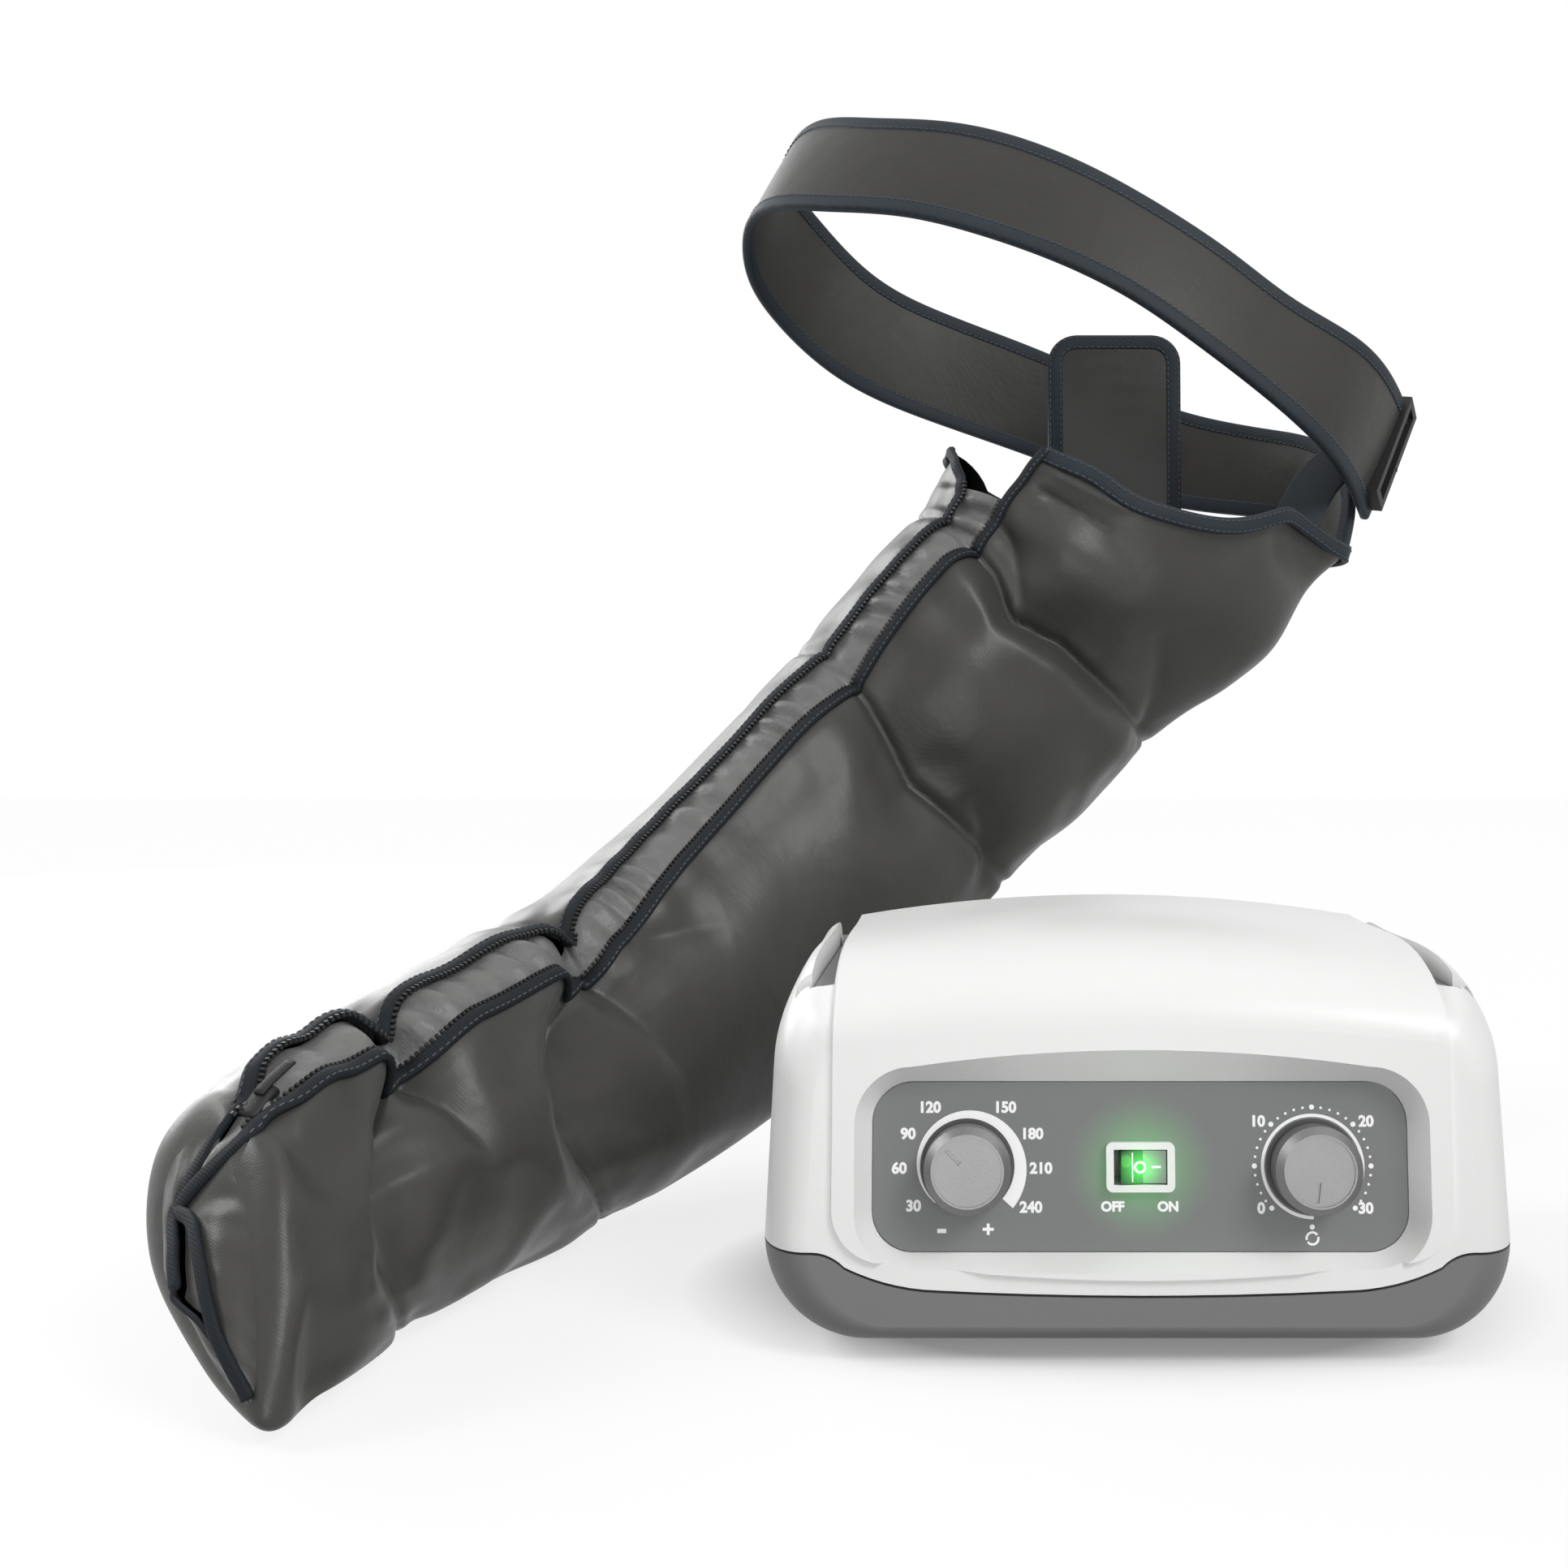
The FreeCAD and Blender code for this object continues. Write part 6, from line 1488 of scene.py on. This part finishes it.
@dataclass
class FrontPanel:
    """What is printed on the unit's front panel: the two dials' scales and the switch's words, with a black
    ring round each knob that is painted shadow of the knob.
    """

    origin: tuple = (0.0, -76.928, 57.705)
    lean: float = 6.0
    dial_x: float = 53.0
    print_lift: float = 0.04
    print_thick: float = 0.05
    bold: float = 0.2
    figure_height: float = 3.3
    word_height: float = 2.9
    capital_share: float = 0.72
    pressures: tuple = (
        ("30", -16.5, -12.0), ("60", -20.9, -0.7), ("90", -18.2, 9.7), ("120", -11.6, 17.7),
        ("150", 11.6, 17.7), ("180", 19.9, 9.7), ("210", 22.6, -0.7), ("240", 19.5, -12.4),
    )
    times: tuple = (("0", -16.0, -12.7), ("10", -16.7, 13.5), ("20", 16.7, 13.5), ("30", 16.0, -12.7))
    words: tuple = (("OFF", -8.5, -12.2), ("ON", 8.5, -12.2))
    signs: tuple = (("-", -7.8, -18.6, 7.0), ("+", 6.4, -19.2, 4.6))
    pressure_arc: tuple = (14.5, 228, -42, (0.3, 4.3))
    time_arc: tuple = (14.9, 270, -38, (1.0, 1.0))
    # The black ring of painted knob shadow round each dial: radius, angles and widths
    dial_ring: tuple = (11.0, 0, 360, (3.4, 3.4))
    minutes: int = 30
    minutes_start: float = 224.5
    minutes_span: float = 269.0
    minutes_radius: float = 17.9
    large_dot: float = 0.8
    small_dot: float = 0.42
    clock: tuple = (-0.5, -21.6)
    clock_dot: float = -18.2
    clock_arcs: tuple = ((1.45, 195, 35, (0.7, 0.7)), (1.45, 15, -145, (0.7, 0.7)))

    def axes(self) -> tuple:
        """The panel's right, upward and outward directions."""
        return leaning(self.lean)

    def placed(self, flat: np.ndarray, out: Any) -> np.ndarray:
        """Points of the panel's plane in the unit's frame."""
        right, up, front = self.axes()
        return np.array(self.origin) + flat[:, :1] * right + flat[:, 1:2] * up + np.asarray(out) * front

    def figure(self, text: str, x: float, y: float, height: float) -> Shape:
        """A printed figure or word.

        Args:
            text: What it says.
            x: Its middle across the panel.
            y: Its middle up the panel.
            height: The height of its capitals.

        Returns:
            The print as a thin solid.
        """
        curve = bpy.data.curves.new("figure", "FONT")
        curve.body = text
        curve.align_x, curve.align_y = "CENTER", "CENTER"
        curve.size = height / self.capital_share
        curve.extrude = self.print_thick / 2
        curve.offset = self.bold
        curve.resolution_u = 4
        holder = bpy.data.objects.new("figure", curve)
        bpy.context.scene.collection.objects.link(holder)
        bpy.context.view_layer.update()
        mesh = bpy.data.meshes.new_from_object(holder.evaluated_get(bpy.context.evaluated_depsgraph_get()))
        points = np.array([v.co for v in mesh.vertices])
        faces = [list(p.vertices) for p in mesh.polygons]
        bpy.data.objects.remove(holder)
        bpy.data.curves.remove(curve)
        bpy.data.meshes.remove(mesh)
        flat = points[:, :2] + np.array([x, y])
        return Shape(self.placed(flat, points[:, 2:] + self.print_lift), faces)

    def sweep(self, x: float, y: float, radius: float, start: float, end: float, widths: tuple) -> Shape:
        """A printed arc.

        Args:
            x: Its middle across the panel.
            y: Its middle up the panel.
            radius: Its radius.
            start: The angle where it starts, anticlockwise from the right.
            end: The angle where it ends.
            widths: Its width at the start and at the end.

        Returns:
            The arc as a thin solid.
        """
        turn = np.radians(np.linspace(start, end, 90))
        right, up, front = self.axes()
        ray = np.cos(turn)[:, None] * right + np.sin(turn)[:, None] * up
        points = self.placed(np.array([[x, y]]), self.print_lift) + ray * radius
        width = np.linspace(widths[0], widths[1], len(turn))
        half = self.print_thick / 2
        sides = ((0, -half), (1, -half), (1, half), (0, half))
        corners = [points + ray * (width * a)[:, None] + front * b for a, b in sides]
        return Shape.grid(np.stack(corners, axis=1), tube=True).capped()

    def dot(self, x: float, y: float, radius: float) -> Shape:
        """A printed dot."""
        turn = np.linspace(0, math.tau, 14, endpoint=False)
        flat = np.stack([x + radius * np.cos(turn), y + radius * np.sin(turn)], axis=1)
        half = self.print_thick / 2
        low, high = (self.placed(flat, self.print_lift + side * half) for side in (-1, 1))
        return Shape.grid(np.stack([low, high]), tube=True).capped()

    def build(self) -> None:
        """Print the scales and the words, and lay the black rings of painted knob shadow."""
        left, right = -self.dial_x, self.dial_x
        marks = [self.figure(text, left + x, y, self.figure_height) for text, x, y in self.pressures]
        marks += [self.figure(text, right + x, y, self.figure_height) for text, x, y in self.times]
        marks += [self.figure(text, x, y, self.word_height) for text, x, y in self.words]
        marks += [self.figure(text, left + x, y, height) for text, x, y, height in self.signs]
        Shape.joined(marks).piece("panel_figures", Finishes.print_white, "white_shell", smooth=False)
        arcs = [self.sweep(left, 0, *self.pressure_arc), self.sweep(right, 0, *self.time_arc)]
        for minute in range(self.minutes + 1):
            turn = math.radians(self.minutes_start - minute * self.minutes_span / self.minutes)
            x, y = self.minutes_radius * math.cos(turn), self.minutes_radius * math.sin(turn)
            arcs.append(self.dot(right + x, y, self.large_dot if minute % 5 == 0 else self.small_dot))
        clock_x, clock_y = right + self.clock[0], self.clock[1]
        arcs.append(self.dot(clock_x, self.clock_dot, self.large_dot))
        arcs += [self.sweep(clock_x, clock_y, *arc) for arc in self.clock_arcs]
        Shape.joined(arcs).piece("panel_scales", Finishes.print_white, "white_shell", smooth=False)
        # Black rings round both knobs: painted shadow of the knobs on the panel
        knob_shadow_rings = [self.sweep(x, 0, *self.dial_ring) for x in (left, right)]
        Shape.joined(knob_shadow_rings).piece("painted_knob_shadows", Finishes.pointer, "black_plastic", smooth=False)


@dataclass
class ControlUnit:
    """The control unit: its solids dressed, with the prints on its panel."""

    loaded: dict
    panel: FrontPanel = field(default_factory=FrontPanel)
    mark_lift: float = 0.06
    cast_from: float = 30.0

    def build(self) -> None:
        """Dress every solid of the set in its finish and print the panel."""
        for part in self.loaded["record"]["subparts"]:
            node = self.loaded["nodes"][part["node"]]
            node.data.materials.clear()
            node.data.materials.append(Finishes.of_slot(part["material_slot"]).material())
        self.panel.build()
        self.build_rocker_marks()

    def build_rocker_marks(self) -> None:
        """Lay the ring, the dash and the pale line on the rocker's lens."""
        rocker = self.loaded["nodes"]["rocker"]
        front = self.panel.axes()[2]
        round_marks = [(math.cos(t), math.sin(t)) for t in np.linspace(0, math.tau, 33)]
        ring, hole = ([(r * x - 0.2, r * y) for x, y in round_marks] for r in (1.9, 1.15))
        dash = ([(3.4, -0.38), (6.3, -0.38)], [(3.4, 0.38), (6.3, 0.38)])
        heights = np.linspace(-4.4, 4.4, 9)
        line = ([(-2.7, y) for y in heights], [(-2.3, y) for y in heights])
        sheets = []
        for rows in ((ring, hole), dash, line):
            laid = []
            for x, y in np.array(rows).reshape(-1, 2):
                start = self.panel.placed(np.array([[x, y]]), self.cast_from)[0]
                found = rocker.ray_cast(Vector((start + UNIT_PLACE) * MM), Vector(-front))
                spot = np.array(found[1]) / MM - UNIT_PLACE + front * self.mark_lift if found[0] else None
                laid.append(spot)
            if any(spot is None for spot in laid):
                LOG.warning("rocker mark missed the lens")
                continue
            points = np.array(laid)
            if rows[0] is ring:
                points = points + front * (np.max(points @ front) - points @ front)[:, None]
            sheets.append(Shape.grid(points.reshape(2, -1, 3)))
        marks = Shape.joined(sheets)
        marks.piece("rocker_marks", Finishes.print_white, "white_shell", "rocker", smooth=False)


@dataclass(frozen=True)
class Lamp:
    """A soft square lamp: where it stands, the length of its side, its power in watts and what it faces."""

    name: str
    place: tuple
    size: float
    power: float
    aim: tuple = (-0.02, 0.05, 0.2)

    def build(self) -> None:
        """Stand the lamp in the scene."""
        data = bpy.data.lights.new(self.name, "AREA")
        data.size = self.size
        data.energy = self.power
        lamp = bpy.data.objects.new(self.name, data)
        lamp.location = self.place
        lamp.rotation_euler = (Vector(self.aim) - Vector(self.place)).to_track_quat("-Z", "Y").to_euler()
        bpy.context.scene.collection.objects.link(lamp)


@dataclass
class Studio:
    """The camera, the pale floor and the soft lights."""

    camera_place: tuple = (0.0055, -0.721, 0.185)
    lens: float = 39.13
    shift: tuple = (-0.120, -0.0207)
    floor_half: float = 6.0
    floor_stretch: tuple = (1.0, 1.25, 1.0)
    floor_middle: tuple = (0.057, -0.151, 0.0)
    sky: float = 0.2
    glow_place: tuple = (0.0575, -0.2065, 0.0595)
    glow_color: Color = (0.25, 1.0, 0.2)
    glow_power: float = 0.0006
    glow_size: float = 0.002
    lamps: tuple = (
        Lamp("key_lamp", (1.3, -1.4, 1.7), 0.9, 29),
        Lamp("left_lamp", (-1.7, -0.2, 1.5), 0.9, 19),
        Lamp("rim_lamp", (-1.5, 1.3, 0.9), 1.5, 32, (-0.1, 0.05, 0.2)),
        Lamp("front_lamp", (0.5, -2.3, 0.8), 1.6, 6, (0.05, -0.1, 0.1)),
        Lamp("low_lamp", (0.06, -0.95, 0.05), 0.5, 2.7, (0.057, -0.2, 0.08)),
        Lamp("top_lamp", (0.3, 0.2, 2.4), 1.4, 4),
    )

    def build_camera(self) -> None:
        """Stand the camera where the photograph was taken from."""
        data = bpy.data.cameras.new("camera")
        data.lens = self.lens
        data.sensor_width = 36
        data.shift_x, data.shift_y = self.shift
        camera = bpy.data.objects.new("camera", data)
        camera.location = self.camera_place
        camera.rotation_euler = (math.pi / 2, 0, 0)
        bpy.context.scene.collection.objects.link(camera)
        bpy.context.scene.camera = camera

    def build(self) -> None:
        """Set the floor, the world and the lamps."""
        self.build_floor()
        self.build_world()
        for lamp in self.lamps:
            lamp.build()
        self.build_glow()

    def build_floor(self) -> None:
        """Lay a paper floor that goes white away from the unit."""
        half = self.floor_half
        corners = [(-half, -half, 0), (half, -half, 0), (half, half, 0), (-half, half, 0)]
        mesh = bpy.data.meshes.new("floor")
        mesh.from_pydata(corners, [], [(0, 1, 2, 3)])
        floor = bpy.data.objects.new("floor", mesh)
        bpy.context.scene.collection.objects.link(floor)
        shader = Shader(bpy.data.materials.new("floor_paper"))
        rays = shader.seen()
        stretch = {0: shader.place(), 1: self.floor_stretch}
        wide = shader.node("ShaderNodeVectorMath", {"operation": "MULTIPLY"}, stretch, "Vector")
        away = shader.away(wide, self.floor_middle)
        fade = ((away - 0.108) / 0.045).clamped() * 0.6 + ((away - 0.2) / 0.4).clamped() * 0.2 + 0.18
        paper = shader.node("ShaderNodeBsdfDiffuse", {}, {"Color": shader.mix(rays, (0.3,) * 3, (0.96,) * 3)})
        white = shader.node("ShaderNodeEmission", {}, {"Color": (1.0, 1.0, 1.0), "Strength": 1.0})
        mixed = shader.node("ShaderNodeMixShader", {}, {0: rays * fade, 1: paper, 2: white})
        shader.node("ShaderNodeOutputMaterial", {}, {"Surface": mixed})
        mesh.materials.append(shader.owner)

    def build_glow(self) -> None:
        """Hang a small green lamp before the lit rocker."""
        glow = bpy.data.lights.new("rocker_glow", "POINT")
        glow.energy = self.glow_power
        glow.color = self.glow_color
        glow.shadow_soft_size = self.glow_size
        lamp = bpy.data.objects.new("rocker_glow", glow)
        lamp.location = self.glow_place
        lamp.visible_camera = False
        bpy.context.scene.collection.objects.link(lamp)

    def build_world(self) -> None:
        """A white backdrop for the camera and a dimmer sky for the rest."""
        world = bpy.data.worlds.new("sky")
        bpy.context.scene.world = world
        shader = Shader(world)
        dim = shader.node("ShaderNodeBackground", {}, {"Color": (1.0, 1.0, 1.0), "Strength": self.sky})
        white = shader.node("ShaderNodeBackground", {}, {"Color": (1.0, 1.0, 1.0), "Strength": 1.0})
        mixed = shader.node("ShaderNodeMixShader", {}, {0: shader.seen(), 1: dim, 2: white})
        shader.node("ShaderNodeOutputWorld", {}, {"Surface": mixed})


def main() -> None:
    """Build the set piece by piece."""
    logging.basicConfig(level=logging.INFO, format="%(name)s: %(message)s")
    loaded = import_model()
    bpy.context.scene.view_settings.view_transform = "Standard"
    studio = Studio()
    studio.build_camera()
    arm = ArmForm()
    zip_line = Zip(arm)
    sleeve = Sleeve(arm, zip_line)
    hand = HandEnd(arm, zip_line, sleeve)
    ControlUnit(loaded).build()
    sleeve.build()
    hand.build()
    ZipBuild(sleeve, hand).build()
    Mouth(arm, zip_line, sleeve).build()
    Strap().build()
    Tab().build()
    studio.build()


if __name__ == "__main__":
    main()
